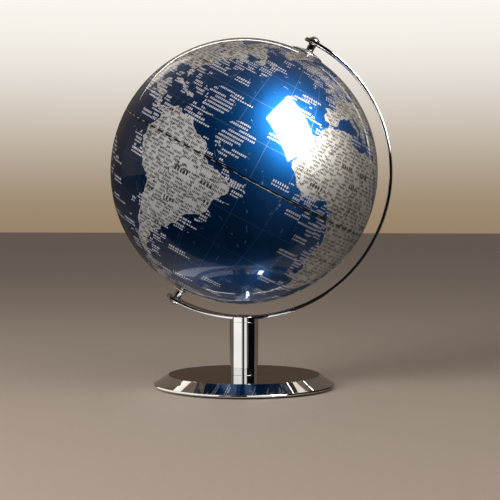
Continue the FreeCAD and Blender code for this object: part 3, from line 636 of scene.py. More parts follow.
def satin_dial_metal():
    """Satin aluminium sheet, spun: fine circular brushing round the pole."""
    material, tree = new_material("satin_spun_aluminium")
    place = add(tree, "ShaderNodeTexCoord", out="Object")
    polar = add(tree, "ShaderNodeMapping", place, *POLAR_PLACE, vector_type="TEXTURE")
    # brushing: finer than 0.1 mm on real sheet, drawn as rings 0.5 mm apart so that it shows
    rings = add(tree, "ShaderNodeTexWave", polar, wave_type="RINGS", rings_direction="Z",
                sockets={"Scale": WAVE / (0.493 * MM), "Distortion": 2.0, "Detail": 2.0})
    tone = add(tree, MIX, rings, sockets={6: linear("#a3a4a6"), 7: linear("#c4c5c7")}, **COLOURS)
    rough = add(tree, "ShaderNodeMapRange", rings, 0.0, 1.0, 0.26, 0.36)
    shader = add(tree, "ShaderNodeBsdfPrincipled", sockets={
        "Base Color": tone, "Metallic": 1.0, "Roughness": rough})
    add(tree, "ShaderNodeOutputMaterial", shader)
    return material


def dial_enamel():
    """Stove enamel in black, printed thick: the dial's figures and marks."""
    material, tree = new_material("black_dial_enamel")
    place = add(tree, "ShaderNodeTexCoord", out="Object")
    # print grain of 0.3 mm, coarser than real
    grain = add(tree, "ShaderNodeTexNoise", place, sockets={"Scale": 3000.0})
    tone = add(tree, MIX, grain, sockets={6: linear("#0c0c0d"), 7: linear("#17181a")}, **COLOURS)
    shader = add(tree, "ShaderNodeBsdfPrincipled", sockets={
        "Base Color": tone, "Roughness": 0.35})
    add(tree, "ShaderNodeOutputMaterial", shader)
    return material


# ---- geometry node trees ----
def open_tree(name, inputs):
    """A geometry node tree with one input for each name; a value of None takes the mesh."""
    tree = bpy.data.node_groups.new(name, "GeometryNodeTree")
    tree.interface.new_socket("Geometry", in_out="OUTPUT", socket_type="NodeSocketGeometry")
    for label, value in inputs.items():
        kind = "Geometry" if value is None else "Int" if isinstance(value, int) else "Float"
        tree.interface.new_socket(label, in_out="INPUT", socket_type="NodeSocket" + kind)
    return tree, add(tree, "NodeGroupInput").node.outputs


def close_tree(tree, shape, material):
    """End a geometry node tree: instances made real, and one material on everything."""
    shape = add(tree, "GeometryNodeRealizeInstances", shape)
    shape = add(tree, "GeometryNodeSetMaterial", shape, sockets={"Material": material})
    add(tree, "NodeGroupOutput", shape)


def grow(thing, tree, inputs):
    """Run a node tree on an object, its inputs set by their sockets' identifiers."""
    modifier = thing.modifiers.new(tree.name, "NODES")
    modifier.node_group = tree
    for label, value in inputs.items():
        if value is not None:
            modifier[tree.interface.items_tree[label].identifier] = value
    return settle(thing)


# ---- the printed map ----
SCALE_STEP = math.radians(5)    # longitude taken by one block of the equator's scale
NET_STEP = math.radians(15)     # between the graticule's lines
# Rows of strokes stand for the map's names. Real ones would be 0.2 mm wide, and these are drawn
# 0.7 to 2 mm wide so that they show. Each kind has the width and height in mm that one label
# gets, the low and high edge of each of its lines as shares of that height, the stroke spacing
# in mm, the share of places that hold a label, and a seed.
LABELS = {
    "land, small": ((9.5, 3.3), ((0.12, 0.84),), 1.5, 0.93, 1),
    "land, large": ((26.0, 14.0), ((0.40, 0.66),), 3.0, 0.35, 2),
    "coastal waters": ((14.0, 6.4), ((0.48, 0.86), (0.08, 0.32)), 2.0, 0.66, 3),
    "stacked": ((34.0, 3.5), ((0.22, 0.82),), 1.8, 0.92, 4),
    "offshore": ((30.0, 17.0), ((0.50, 0.64), (0.33, 0.43)), 2.3, 0.40, 5),
}


def label_rows(tree, east, north, kind):
    """Rows of abstract strokes along the parallels: 1 on ink and 0 between."""
    (wide, high), lines, letter, cover, seed = LABELS[kind]
    level = add(tree, MATH, north, high, operation="DIVIDE")
    row = add(tree, MATH, level, operation="FLOOR")
    height = add(tree, MATH, level, operation="FRACT")
    # strokes keep their width towards the poles: shrink the row by its latitude's cosine
    turn = high * MM / BALL_RADIUS
    latitude = add(tree, MATH, row, turn, turn / 2, operation="MULTIPLY_ADD")
    shrink = add(tree, MATH, latitude, operation="COSINE")
    run = add(tree, MATH, east, shrink, operation="MULTIPLY")
    # each row starts at a place of its own
    start = add(tree, "ShaderNodeTexWhiteNoise", noise_dimensions="1D",
                sockets={"W": add(tree, MATH, row, seed * 7.3, operation="ADD")})
    start = add(tree, MATH, start, 9.0, operation="MULTIPLY")
    across = add(tree, MATH, run, 1 / wide, start, operation="MULTIPLY_ADD")
    column = add(tree, MATH, across, operation="FLOOR")
    place = add(tree, MATH, across, operation="FRACT")
    # one throw for each label says whether it is there and how far each of its lines reaches
    cell_at = add(tree, "ShaderNodeCombineXYZ", column, row, float(seed))
    dice = add(tree, "ShaderNodeTexWhiteNoise", cell_at, noise_dimensions="3D").node
    filled = add(tree, MATH, dice.outputs["Value"], cover, operation="LESS_THAN")
    lengths = add(tree, "ShaderNodeSeparateXYZ", dice.outputs["Color"]).node.outputs
    # and one for each stroke, its width and height
    letters = add(tree, MATH, across, wide / letter, operation="MULTIPLY")
    stroke = add(tree, MATH, letters, operation="FLOOR")
    stroke_at = add(tree, "ShaderNodeCombineXYZ", stroke, row, seed + 0.5)
    uneven = add(tree, "ShaderNodeTexWhiteNoise", stroke_at, noise_dimensions="3D")
    width = add(tree, "ShaderNodeMapRange", uneven, 0.0, 1.0, 0.46, 0.74)
    solid = add(tree, MATH, add(tree, MATH, letters, operation="FRACT"), width,
                operation="LESS_THAN")
    ink = None
    for (low, top), length in zip(lines, lengths):
        reach = add(tree, "ShaderNodeMapRange", length, 0.0, 1.0, 0.45, 0.96)
        within = add(tree, MATH, place, reach, operation="LESS_THAN")
        ceiling = add(tree, MATH, uneven, -0.25 * (top - low), top, operation="MULTIPLY_ADD")
        under = add(tree, MATH, height, ceiling, operation="LESS_THAN")
        over = add(tree, MATH, height, low, operation="GREATER_THAN")
        line = add(tree, MATH, add(tree, MATH, under, over, operation="MULTIPLY"), within,
                   operation="MULTIPLY")
        ink = line if ink is None else add(tree, MATH, ink, line, operation="MAXIMUM")
    return add(tree, MATH, add(tree, MATH, ink, solid, operation="MULTIPLY"), filled,
               operation="MULTIPLY")


def near_multiple(tree, value, spacing):
    """Distance from the nearest multiple of a spacing, in the value's own unit."""
    moved = add(tree, MATH, value, spacing / 2, spacing, operation="ADD")
    folded = add(tree, MATH, moved, spacing, operation="FLOORED_MODULO")
    return add(tree, MATH, add(tree, MATH, folded, spacing / 2, operation="SUBTRACT"),
               operation="ABSOLUTE")


def printed_map():
    """Map printed in metallic inks on a plastic ball and sealed with high-gloss lacquer:
    deep blue flake ink for the sea, silver for the land, a wet-looking clear coat over all."""
    material, tree = new_material("metallic_map_print_under_lacquer")
    inks = look()
    radius = BALL_RADIUS / MM
    place = add(tree, "ShaderNodeTexCoord", out="Object")
    # millimetres from the ball's centre, Z along the polar axis: a noise of scale 1 / n then
    # has patches of n mm
    polar = add(tree, "ShaderNodeMapping", place, *POLAR_PLACE, (MM, MM, MM),
                vector_type="TEXTURE")
    x, y, z = add(tree, "ShaderNodeSeparateXYZ", polar).node.outputs
    angle = add(tree, MATH, y, x, operation="ARCTAN2")
    longitude = add(tree, MATH, angle, inks.map_turn, operation="ADD")
    height = add(tree, MATH, z, radius, operation="DIVIDE")
    latitude = add(tree, MATH, height, operation="ARCSINE")
    squeeze = add(tree, MATH, latitude, operation="COSINE")
    east = add(tree, MATH, longitude, radius, operation="MULTIPLY")
    north = add(tree, MATH, latitude, radius, operation="MULTIPLY")

    # coast: the distance kept in the mesh, roughened by bays of 6 mm down to 0.2 mm
    coast = add(tree, "ShaderNodeAttribute", attribute_name="coast_mm", out="Fac")
    bays = add(tree, "ShaderNodeTexNoise", polar, sockets={"Scale": 1 / 6.25, "Detail": 5.0,
                                                           "Roughness": 0.62})
    shift = add(tree, "ShaderNodeMapRange", bays, 0.25, 0.75, -1.7, 1.7)
    shore = add(tree, MATH, coast, shift, operation="ADD")
    land = add(tree, "ShaderNodeMapRange", shore, -0.12, 0.12, 0.0, 1.0)
    sea = add(tree, MATH, 1.0, land, operation="SUBTRACT")

    # sea: depth tints with clear borders 45 mm apart, then a few dashed currents
    depth = add(tree, "ShaderNodeTexNoise", polar, sockets={"Scale": 0.022, "Detail": 1.5})
    shallow = add(tree, "ShaderNodeMapRange", depth, 0.55, 0.555, 0.0, 0.5)
    near_shore = add(tree, "ShaderNodeMapRange", shore, -4.0, -0.5, 0.0, 0.6)
    tint = add(tree, MATH, shallow, near_shore, operation="MAXIMUM")
    blue = add(tree, MIX, tint, **COLOURS,
               sockets={6: linear(inks.sea), 7: linear(inks.shallow_sea)})
    drift = add(tree, "ShaderNodeTexNoise", polar, sockets={"Scale": 1 / 50, "Detail": 0.5})
    flow = add(tree, "ShaderNodeMapRange", near_multiple(tree, drift, 0.12), 0.0012, 0.0026,
               1.0, 0.0)
    dashes = add(tree, "ShaderNodeTexNoise", polar, sockets={"Scale": 1 / 5})
    dashed = add(tree, MATH, add(tree, MATH, dashes, 0.60, operation="GREATER_THAN"), flow,
                 operation="MULTIPLY")
    # graticule: lines 0.15 mm wide on a real map, drawn 0.4 mm wide and faint so that they show
    meridian = add(tree, MATH, near_multiple(tree, longitude, NET_STEP), squeeze,
                   operation="MULTIPLY")
    parallel = near_multiple(tree, latitude, NET_STEP)
    nearest = add(tree, MATH, meridian, parallel, operation="MINIMUM")
    line = add(tree, "ShaderNodeMapRange", nearest, 0.15 / radius, 0.3 / radius, 0.3, 0.0)
    blue = add(tree, MIX, add(tree, MATH, line, dashed, operation="MAXIMUM"), **COLOURS,
               sockets={6: blue, 7: linear(inks.sea_line)})

    # names of waters: two-line labels crowd within 13 mm of the coasts, in clusters of 25 mm,
    # a few stand off shore, and in a few places long rows are stacked
    clusters = add(tree, "ShaderNodeTexNoise", polar, sockets={"Scale": 1 / 25, "Detail": 1.0})
    close = add(tree, MATH, shore, -13.0, operation="GREATER_THAN")
    crowd = add(tree, MATH, clusters, 0.47, operation="GREATER_THAN")
    crowded = add(tree, MATH, close, crowd, operation="MULTIPLY")
    stacked = 0.0
    for place_east, place_north, reach in STACKED_LABELS:
        bearing = (place_east - math.degrees(inks.map_turn), place_north)
        towards = on_unit_sphere(np.array([bearing]))[0] / radius
        facing = add(tree, VECTOR_MATH, polar, tuple(towards), out="Value",
                     operation="DOT_PRODUCT")
        here = add(tree, MATH, facing, math.cos(math.radians(reach)), operation="GREATER_THAN")
        stacked = add(tree, MATH, here, stacked, operation="MAXIMUM")
    unstacked = add(tree, MATH, 1.0, stacked, operation="SUBTRACT")
    names = 0.0
    for kind, where in (("coastal waters", crowded), ("stacked", stacked),
                        ("offshore", unstacked)):
        rows = add(tree, MATH, label_rows(tree, east, north, kind), where, operation="MULTIPLY")
        names = add(tree, MATH, rows, names, operation="MAXIMUM")

    # land: silver with relief mottling of 3 mm, borders, rows of names
    relief = add(tree, "ShaderNodeTexNoise", polar, sockets={"Scale": 0.35, "Detail": 4.0})
    silver = add(tree, MIX, relief, **COLOURS,
                 sockets={6: linear(inks.land), 7: linear(inks.land_light)})
    bend = add(tree, "ShaderNodeTexNoise", polar, out=1, sockets={"Scale": 0.22, "Detail": 3.0})
    bend = add(tree, VECTOR_MATH, bend, (7.0, 7.0, 7.0), operation="MULTIPLY")
    cells = add(tree, VECTOR_MATH, polar, bend, operation="ADD")
    # country borders about 15 mm apart, drawn 0.5 mm wide where a real map has 0.2 mm
    borders = add(tree, "ShaderNodeTexVoronoi", cells, feature="DISTANCE_TO_EDGE",
                  sockets={"Scale": 1 / 15})
    border = add(tree, "ShaderNodeMapRange", borders, 0.014, 0.024, 0.75, 0.0)
    ink = border
    for kind in ("land, small", "land, large"):
        ink = add(tree, MATH, label_rows(tree, east, north, kind), ink, operation="MAXIMUM")
    inland = add(tree, "ShaderNodeMapRange", shore, 0.5, 0.8, 0.0, 0.95)
    silver = add(tree, MIX, add(tree, MATH, ink, inland, operation="MULTIPLY"), **COLOURS,
                 sockets={6: silver, 7: linear(inks.land_ink)})

    # equator: over the sea a dark band 2.6 mm wide along the seam, over land a dark scale of
    # blocks 1.7 mm wide that meets the scale on the joining ring's edge
    off_equator = add(tree, MATH, z, operation="ABSOLUTE")
    band = add(tree, "ShaderNodeMapRange", off_equator, 1.2, 1.5, 0.9, 0.0)
    blue = add(tree, MIX, band, sockets={6: blue, 7: linear(inks.equator_dark)}, **COLOURS)
    names = add(tree, MATH, names, add(tree, MATH, band, 0.1, operation="LESS_THAN"),
                operation="MULTIPLY")
    blue = add(tree, MIX, names, sockets={6: blue, 7: linear(inks.sea_print)}, **COLOURS)
    steps = add(tree, MATH, longitude, SCALE_STEP, operation="DIVIDE")
    block = add(tree, MATH, add(tree, MATH, steps, operation="FRACT"), 0.62,
                operation="LESS_THAN")
    scale = add(tree, "ShaderNodeMapRange", off_equator, 0.8, 0.95, 1.0, 0.0)
    silver = add(tree, MIX, add(tree, MATH, scale, block, operation="MULTIPLY"), **COLOURS,
                 sockets={6: silver, 7: linear(inks.land_ink)})

    colour = add(tree, MIX, land, sockets={6: blue, 7: silver}, **COLOURS)
    # flake ink: glints break up the sheen. Real flake is about 0.05 mm across, and this is
    # drawn 0.25 mm across so that it shows
    flakes = add(tree, "ShaderNodeTexVoronoi", polar, sockets={"Scale": 4.0})
    glint = add(tree, "ShaderNodeMapRange", flakes, 0.0, 0.8, -0.03, 0.03)
    dull = add(tree, MATH, land, 0.08, inks.ink_roughness, operation="MULTIPLY_ADD")
    rough = add(tree, MATH, dull, glint, operation="ADD")
    # the sea's blue is metal flake; the silver and white inks scatter light more evenly
    flake = add(tree, MATH, sea, add(tree, MATH, 1.0, names, operation="SUBTRACT"),
                operation="MULTIPLY")
    metal = add(tree, "ShaderNodeMapRange", flake, 0.0, 1.0, inks.silver_metallic,
                inks.sea_metallic)
    shader = add(tree, "ShaderNodeBsdfPrincipled", sockets={
        "Base Color": colour, "Metallic": metal, "Roughness": rough, "Coat Weight": 1.0,
        "Coat Roughness": inks.lacquer_roughness, "Coat IOR": 1.5})
    add(tree, "ShaderNodeOutputMaterial", shader)
    return material


# ---- settings ----
class DeskGlobeLook(bpy.types.PropertyGroup):
    """Colours and finishes that a user would change."""

    sea: StringProperty(name="Sea ink", description="sRGB hex", default="#013e75")
    shallow_sea: StringProperty(name="Shallow sea ink", description="sRGB hex",
                                default="#0d4a86")
    sea_line: StringProperty(name="Sea lines", description="sRGB hex", default="#7fa0cc")
    sea_print: StringProperty(name="Sea names", description="sRGB hex", default="#e3e6f0")
    land: StringProperty(name="Land ink", description="sRGB hex", default="#b6b5b0")
    land_light: StringProperty(name="Land highlights", description="sRGB hex",
                               default="#dad9d5")
    land_ink: StringProperty(name="Land names", description="sRGB hex", default="#080806")
    equator_dark: StringProperty(name="Equator band", description="sRGB hex",
                                 default="#020610")
    chrome: StringProperty(name="Chrome", description="sRGB hex", default="#c9cacc")
    map_turn: FloatProperty(name="Map turn", default=math.radians(49.8), subtype="ANGLE",
                            description="Longitude that lies on the polar frame's X axis")
    ink_roughness: FloatProperty(name="Ink roughness", default=0.40, min=0, max=1,
                                 subtype="FACTOR",
                                 description="Spread of the metallic ink's sheen")
    sea_metallic: FloatProperty(name="Sea metallic", default=0.92, min=0, max=1,
                                subtype="FACTOR",
                                description="Share of metal flake in the sea's ink")
    silver_metallic: FloatProperty(name="Silver metallic", default=0.35, min=0, max=1,
                                   subtype="FACTOR",
                                   description="Share of metal flake in the land's ink")
    lacquer_roughness: FloatProperty(name="Lacquer roughness", default=0.025, min=0, max=1,
                                     subtype="FACTOR", description="Haze of the clear coat")


class DeskGlobeSizes(bpy.types.PropertyGroup):
    """Sizes of details that the frame leaves open."""

    ball_steps: IntProperty(name="Ball steps", default=600,
                            description="Divisions round the ball")
    ball_rows: IntProperty(name="Ball rows", default=132,
                           description="Divisions from equator to pole")
    seam_round: FloatProperty(name="Seam rounding", default=0.25 * MM, unit="LENGTH",
                              precision=5, description="Rounding of each half's edge")
    bar_round: FloatProperty(name="Arc edge", default=0.85 * MM, unit="LENGTH", precision=5,
                             description="Rounding of the arc bar's edges")
    edge_round: FloatProperty(name="Polished edge", default=0.4 * MM, unit="LENGTH",
                              precision=5, description="Rounding left by polishing")
    bar_steps: IntProperty(name="Arc steps", default=1200,
                           description="Divisions along the meridian arc")
    figure_height: FloatProperty(name="Figure height", default=2.4 * MM, unit="LENGTH",
                                 precision=5, description="Height of the hour figures")
    print_height: FloatProperty(name="Print height", default=0.05 * MM, unit="LENGTH",
                                precision=5, description="How far dial marks stand up")


def sizes():
    return bpy.context.scene.desk_globe_sizes


def look():
    return bpy.context.scene.desk_globe_look


def finish(name, maker, *values):
    """A material made once and then shared."""
    return bpy.data.materials.get(name) or maker(*values)


def chrome():
    return finish("polished_chrome_plate", polished_chrome, look().chrome)


# ---- pieces ----
class DESKGLOBE_OT_ball(bpy.types.Operator):
    """Make the two printed halves of the ball"""

    bl_idname = "desk_globe.ball"
    bl_label = "Ball Halves"

    def outline(self):
        """One half's wall in the polar frame, from the equator over the pole and back inside."""
        radius, level = corners_round("northern_hemisphere", NORTH)
        hole = radius.min()
        boss_foot = level[radius < 1.01 * hole].min()
        # corners within 20 mm of the axis belong to the boss, and those beyond 50 mm to the wall
        boss = radius[(level < boss_foot + SAME) & (radius < 20 * MM)].max()
        inner = np.hypot(radius, level)[radius > 50 * MM].min()
        edge, seat = level.min(), level.max()
        soft = sizes().seam_round

        def wall(size, low, high, count):
            angles = np.linspace(math.asin(low / size), math.asin(high / size), count)
            return [(size * math.cos(a), size * math.sin(a)) for a in angles]

        groove = [(BALL_RADIUS - soft * (1 - math.sin(a)), edge + soft * (1 - math.cos(a)))
                  for a in np.linspace(0, math.pi / 2, 4)]
        outside = wall(BALL_RADIUS, edge + soft * 1.3, seat, sizes().ball_rows)
        inside = wall(inner, edge, math.sqrt(inner ** 2 - boss ** 2), 14)
        return (groove + outside + [(hole, seat), (hole, boss_foot), (boss, boss_foot)]
                + inside[::-1])

    def execute(self, context):
        print_finish = finish("metallic_map_print_under_lacquer", printed_map)
        outline = self.outline()
        prime_meridian = NORTH @ Matrix.Rotation(-look().map_turn, 4, "Z")
        for node, place in (("northern_hemisphere", NORTH), ("southern_hemisphere", SOUTH)):
            half = lathe(node.replace("hemisphere", "ball_half"), outline, place,
                         sizes().ball_steps)
            points = corners_from(half.data, prime_meridian)
            directions = points / np.linalg.norm(points, axis=1)[:, None]
            coast = half.data.attributes.new("coast_mm", "FLOAT", "POINT")
            coast.data.foreach_set("value", coast_distance(directions).astype(np.float32))
            hand_over(half, print_finish, "globe", "printed_ball", node)
        return {"FINISHED"}


class DESKGLOBE_OT_dial(bpy.types.Operator):
    """Make the hour dial with its figures and marks"""

    bl_idname = "desk_globe.dial"
    bl_label = "Hour Dial"

    def measure(self):
        """Read the radii and levels of the dial's CAD solid, in the polar frame."""
        radius, level = corners_round("hour_dial", NORTH)
        self.hole, self.rim = radius.min(), radius.max()
        self.rim_low, self.top = level.min(), level.max()
        self.hub = radius[level > self.top - SAME].max()
        self.rim_high = level[radius > self.rim - SAME].max()
        self.hub_low = level[radius < self.hole * 1.01].min()

    def dome(self, at):
        """Height of the dome's top at a radius: a quarter-sine fall from hub to rim."""
        share = max(0.0, (at - self.hub) / (self.rim - self.hub))
        return self.rim_high + (self.top - self.rim_high) * math.cos(share * math.pi / 2)

    def slope(self, at, run):
        """Angle at which the dome falls over a run that starts at a radius."""
        return math.atan2(self.dome(at) - self.dome(at + run), run)

    def execute(self, context):
        self.measure()
        outline = [(self.hole, self.hub_low), (self.rim, self.rim_low)]
        outline += [(at, self.dome(at)) for at in np.linspace(self.rim, self.hub, 14)]
        outline += [(self.hole, self.top)]
        turn_piece("hour_dial_disc", outline, NORTH, TURNED_STEPS,
                   finish("satin_spun_aluminium", satin_dial_metal), "hour_dial",
                   "dial_metal", "hour_dial")
        enamel = finish("black_dial_enamel", dial_enamel)
        self.marks(enamel)
        self.figures(enamel)
        return {"FINISHED"}

    def marks(self, enamel):
        """One mark for each hour round the rim, made by a node tree."""
        at = self.rim - 0.9 * MM
        slope = self.slope(at, 0.1 * MM)
        inputs = {"Count": 24, "Radius": at, "Length": 1.3 * MM, "Width": 0.28 * MM,
                  "Height": 2 * sizes().print_height, "Slope": slope}
        tree, given = open_tree("hour_marks", inputs)
        bar_size = add(tree, "ShaderNodeCombineXYZ", given["Length"], given["Width"],
                       given["Height"])
        bar = add(tree, "GeometryNodeMeshCube", bar_size)
        lean = add(tree, "ShaderNodeCombineXYZ", 0.0, given["Slope"], 0.0)
        bar = add(tree, "GeometryNodeTransform", bar, sockets={"Rotation": lean})
        ring = add(tree, "GeometryNodeMeshCircle", given["Count"], given["Radius"])
        index = add(tree, "GeometryNodeInputIndex")
        step = add(tree, MATH, 2 * math.pi, given["Count"], operation="DIVIDE")
        turn = add(tree, MATH, index, step, operation="MULTIPLY")
        spin = add(tree, "ShaderNodeCombineXYZ", 0.0, 0.0, turn)
        # every other mark is shorter
        odd = add(tree, MATH, index, 2.0, operation="MODULO")
        length = add(tree, "ShaderNodeMapRange", odd, 0.0, 1.0, 1.0, 0.6)
        stretch = add(tree, "ShaderNodeCombineXYZ", length, 1.0, 1.0)
        marks = add(tree, "GeometryNodeInstanceOnPoints", ring,
                    sockets={"Instance": bar, "Rotation": spin, "Scale": stretch})
        close_tree(tree, marks, enamel)
        piece = grow(make_object("hour_dial_marks", [], []), tree, inputs)
        piece.data.transform(NORTH @ Matrix.Translation((0, 0, self.dome(at))))
        hand_over(piece, enamel, "hour_dial", "dial_metal")

    def figures(self, enamel):
        """The even hours, each laid on the dome's slope and read from outside."""
        at = self.hub + 0.52 * (self.rim - self.hub)
        slope = self.slope(at - 0.2 * MM, 0.4 * MM)
        lie = Matrix.Translation((0, at, self.dome(at))) @ Matrix.Rotation(-slope, 4, "X")
        vertices, faces = [], []
        for hour in range(2, 25, 2):
            words = bpy.data.curves.new("figure", "FONT")
            words.body = str(hour)
            words.size = sizes().figure_height
            words.align_x = "CENTER"
            words.align_y = "CENTER"
            words.extrude = sizes().print_height
            words.resolution_u = 3
            figure = new_object("figure", words)
            mesh = plain_mesh(figure)
            bpy.data.objects.remove(figure)
            mesh.transform(NORTH @ Matrix.Rotation(2 * math.pi * hour / 24, 4, "Z") @ lie)
            first = len(vertices)
            vertices += [tuple(v.co) for v in mesh.vertices]
            faces += [[first + i for i in p.vertices] for p in mesh.polygons]
        hand_over(make_object("hour_dial_figures", vertices, faces), enamel, "hour_dial",
                  "dial_metal")


class DESKGLOBE_OT_bearings(bpy.types.Operator):
    """Make the pole bushes, pins, spacers, washers and dome nuts"""

    bl_idname = "desk_globe.bearings"
    bl_label = "Polar Bearings"

    def execute(self, context):
        edge = sizes().edge_round
        nylon = finish("black_moulded_nylon", moulded_plastic, "black_moulded_nylon",
                       "#17181a", "#1f2023", 0.5, 0.42)
        acetal = finish("natural_acetal", moulded_plastic, "natural_acetal",
                        "#d6d2c4", "#c8c3b2", 0.4, 0.35)
        soft = edge * 0.6
        for pole, place, washer in (("north", NORTH, "north_friction_washer"),
                                    ("south", SOUTH, "south_thrust_washer")):
            low, high, bore, wide = span_round(pole + "_pole_bush", place)
            radius, level = corners_round(pole + "_pole_bush", place)
            body = radius[level < low + SAME].max()
            seat = level[radius > wide - SAME].min()
            turn_piece(pole + "_bush", [
                (bore, low), (body, low, soft), (body, seat), (wide, seat, soft * 0.5),
                (wide, high, soft), (bore, high)], place, TURNED_STEPS, nylon, "globe",
                "bush_nylon", pole + "_pole_bush")

            low, high, bore, wide = span_round(washer, place)
            turn_piece(washer + "_ring", [
                (bore, low), (wide, low, soft), (wide, high, soft), (bore, high)], place,
                TURNED_STEPS, acetal, "stand", "thrust_plastic", washer)

            low, high, bore, wide = span_round(pole + "_spacer", place)
            # the outer end runs a hair into the arc's hollow side, so no gap shows
            turn_piece(pole + "_spacer_sleeve", [
                (bore, low), (wide, low, edge), (wide, high), (bore, high)], place,
                TURNED_STEPS, chrome(), "stand", "bright_chrome", pole + "_spacer")

            low, high, bore, wide = span_round(pole + "_pivot_pin", place)
            radius, level = corners_round(pole + "_pivot_pin", place)
            journal = radius[level < low + SAME].max()
            stud = radius[level > high - SAME].max()
            collar = level[radius > wide - SAME]
            foot, head = collar.min(), collar.max()
            turn_piece(pole + "_pin", [
                (0, low), (journal, low, edge), (journal, foot), (wide, foot, soft),
                (wide, head, soft), (stud, head), (stud, high, edge), (0, high)], place,
                TURNED_STEPS, chrome(), "stand", "bright_chrome", pole + "_pivot_pin")

            low, high, bore, wide = span_round(pole + "_dome_nut", place)
            radius, level = corners_round(pole + "_dome_nut", place)
            skirt = level[radius > wide - SAME].max()
            rise = high - skirt
            ball = (wide ** 2 + rise ** 2) / (2 * rise)
            dome = [(ball * math.sin(a), high - ball + ball * math.cos(a))
                    for a in np.linspace(math.asin(wide / ball), 0, 14)]
            arc_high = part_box("meridian_arc")[1].x
            turn_piece(pole + "_nut", [
                (0, arc_high), (wide, arc_high, edge), (wide, skirt), *dome[1:-1], (0, high)],
                place, TURNED_STEPS, chrome(), "stand", "bright_chrome", pole + "_dome_nut")
        return {"FINISHED"}


class DESKGLOBE_OT_arc(bpy.types.Operator):
    """Bend the meridian arc from flat bar, with round ends and its holes"""

    bl_idname = "desk_globe.arc"
    bl_label = "Meridian Arc"

    def bend(self, inner, outer, width):
        """A flat bar swept along an arc in the XY plane, its ends rounded in width."""
        middle = (inner + outer) / 2
        past = width / 2 / middle
        inputs = {"Radius": middle, "Width": width,
                  "Thickness": outer - inner, "Corner": sizes().bar_round,
                  "Start": -math.pi / 2 - TILT - past, "Sweep": math.pi + 2 * past,
                  "Steps": sizes().bar_steps}
        tree, given = open_tree("bent_bar", inputs)
        path = add(tree, "GeometryNodeCurveArc", mode="RADIUS", sockets={
            "Resolution": given["Steps"], "Radius": given["Radius"],
            "Start Angle": given["Start"], "Sweep Angle": given["Sweep"]})
        path = add(tree, "GeometryNodeSetCurveNormal", path, mode="Z_UP")
        section = add(tree, "GeometryNodeCurvePrimitiveQuadrilateral", mode="RECTANGLE",
                      sockets={"Width": given["Thickness"], "Height": given["Width"]})
        section = add(tree, "GeometryNodeFilletCurve", section, mode="POLY",
                      sockets={"Count": 5, "Radius": given["Corner"]})
        bar = add(tree, "GeometryNodeCurveToMesh", path, section,
                  sockets={"Fill Caps": True})
        # past each pivot the half width falls as a circle's
        place = add(tree, "GeometryNodeInputPosition")
        x, y, z = add(tree, "ShaderNodeSeparateXYZ", place).node.outputs
        angle = add(tree, MATH, y, x, operation="ARCTAN2")
        half_sweep = add(tree, MATH, given["Sweep"], 2.0, operation="DIVIDE")
        centre = add(tree, MATH, given["Start"], half_sweep, operation="ADD")
        away = add(tree, MATH, angle, centre, operation="SUBTRACT")
        away = add(tree, MATH, away, -math.pi, math.pi, operation="WRAP")
        away = add(tree, MATH, away, operation="ABSOLUTE")
        along = add(tree, MATH, away, given["Radius"], operation="MULTIPLY")
        half_length = add(tree, MATH, half_sweep, given["Radius"], operation="MULTIPLY")
        reach = add(tree, MATH, given["Width"], 2.0, operation="DIVIDE")
        pivot = add(tree, MATH, half_length, reach, operation="SUBTRACT")
        beyond = add(tree, MATH, along, pivot, operation="SUBTRACT")
        beyond = add(tree, MATH, beyond, 0.0, operation="MAXIMUM")
        share = add(tree, MATH, beyond, reach, operation="DIVIDE")
        share = add(tree, MATH, share, 0.9999, operation="MINIMUM")
        square = add(tree, MATH, share, share, operation="MULTIPLY")
        left = add(tree, MATH, 1.0, square, operation="SUBTRACT")
        narrow = add(tree, MATH, left, operation="SQRT")
        z = add(tree, MATH, z, narrow, operation="MULTIPLY")
        moved = add(tree, "ShaderNodeCombineXYZ", x, y, z)
        bar = add(tree, "GeometryNodeSetPosition", bar, sockets={"Position": moved})
        close_tree(tree, bar, chrome())
        return grow(make_object("meridian_bar", [], []), tree, inputs)

    def execute(self, context):
        low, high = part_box("meridian_arc")
        outer = high.x
        width = high.y - low.y
        inner = span_round("meridian_arc", ARC_PLANE)[2]
        bar = self.bend(inner, outer, width)
        bar.data.transform(ARC_PLANE)
        turn_outwards(bar.data)
        stud = span_round("north_spacer", NORTH)[2]
        start, end = inner - 2 * MM, outer + 2 * MM
        drill = [(0, start), (stud, start), (stud, end), (0, end)]
        cutters = [lathe("hole", drill, place, HOLE_STEPS) for place in (NORTH, SOUTH)]
        cutters += [lathe("hole", hole, Matrix.Translation(at), HOLE_STEPS)
                    for at, hole in screw_holes()]
        cut(bar, cutters)
        hand_over(crisp(bar), chrome(), "stand", "bright_chrome", "meridian_arc")
        return {"FINISHED"}


# ---- screws: sizes as shares of the head's radius ----
SHANK = 0.515
RECESS_LENGTH = 0.6         # half of one arm of the cross
RECESS_WIDTH = 0.14
HOLE_MOUTH = 1.03
HOLE_SHANK = 0.55
PLATE_HEAD = 3.2 / 3.4      # the plate screws' heads beside the arc screws'


def arc_screw_places():
    """Where the two arc screws' heads lie, their radius, and the level of their points."""
    low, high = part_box("arc_screws")
    head = (high.y - low.y) / 2
    return [Vector((x, 0, high.z)) for x in (low.x + head, high.x - head)], head, low.z


def screw_holes():
    """A countersunk hole's outline at each arc screw, with a little room round the screw."""
    places, head, _ = arc_screw_places()
    mouth, shank = head * HOLE_MOUTH, head * HOLE_SHANK
    above, below = 1 * MM, -8 * MM
    hole = [(0, above), (mouth, above), (mouth, 0), (shank, shank - head), (shank, below),
            (0, below)]
    return [(at, hole) for at in places]


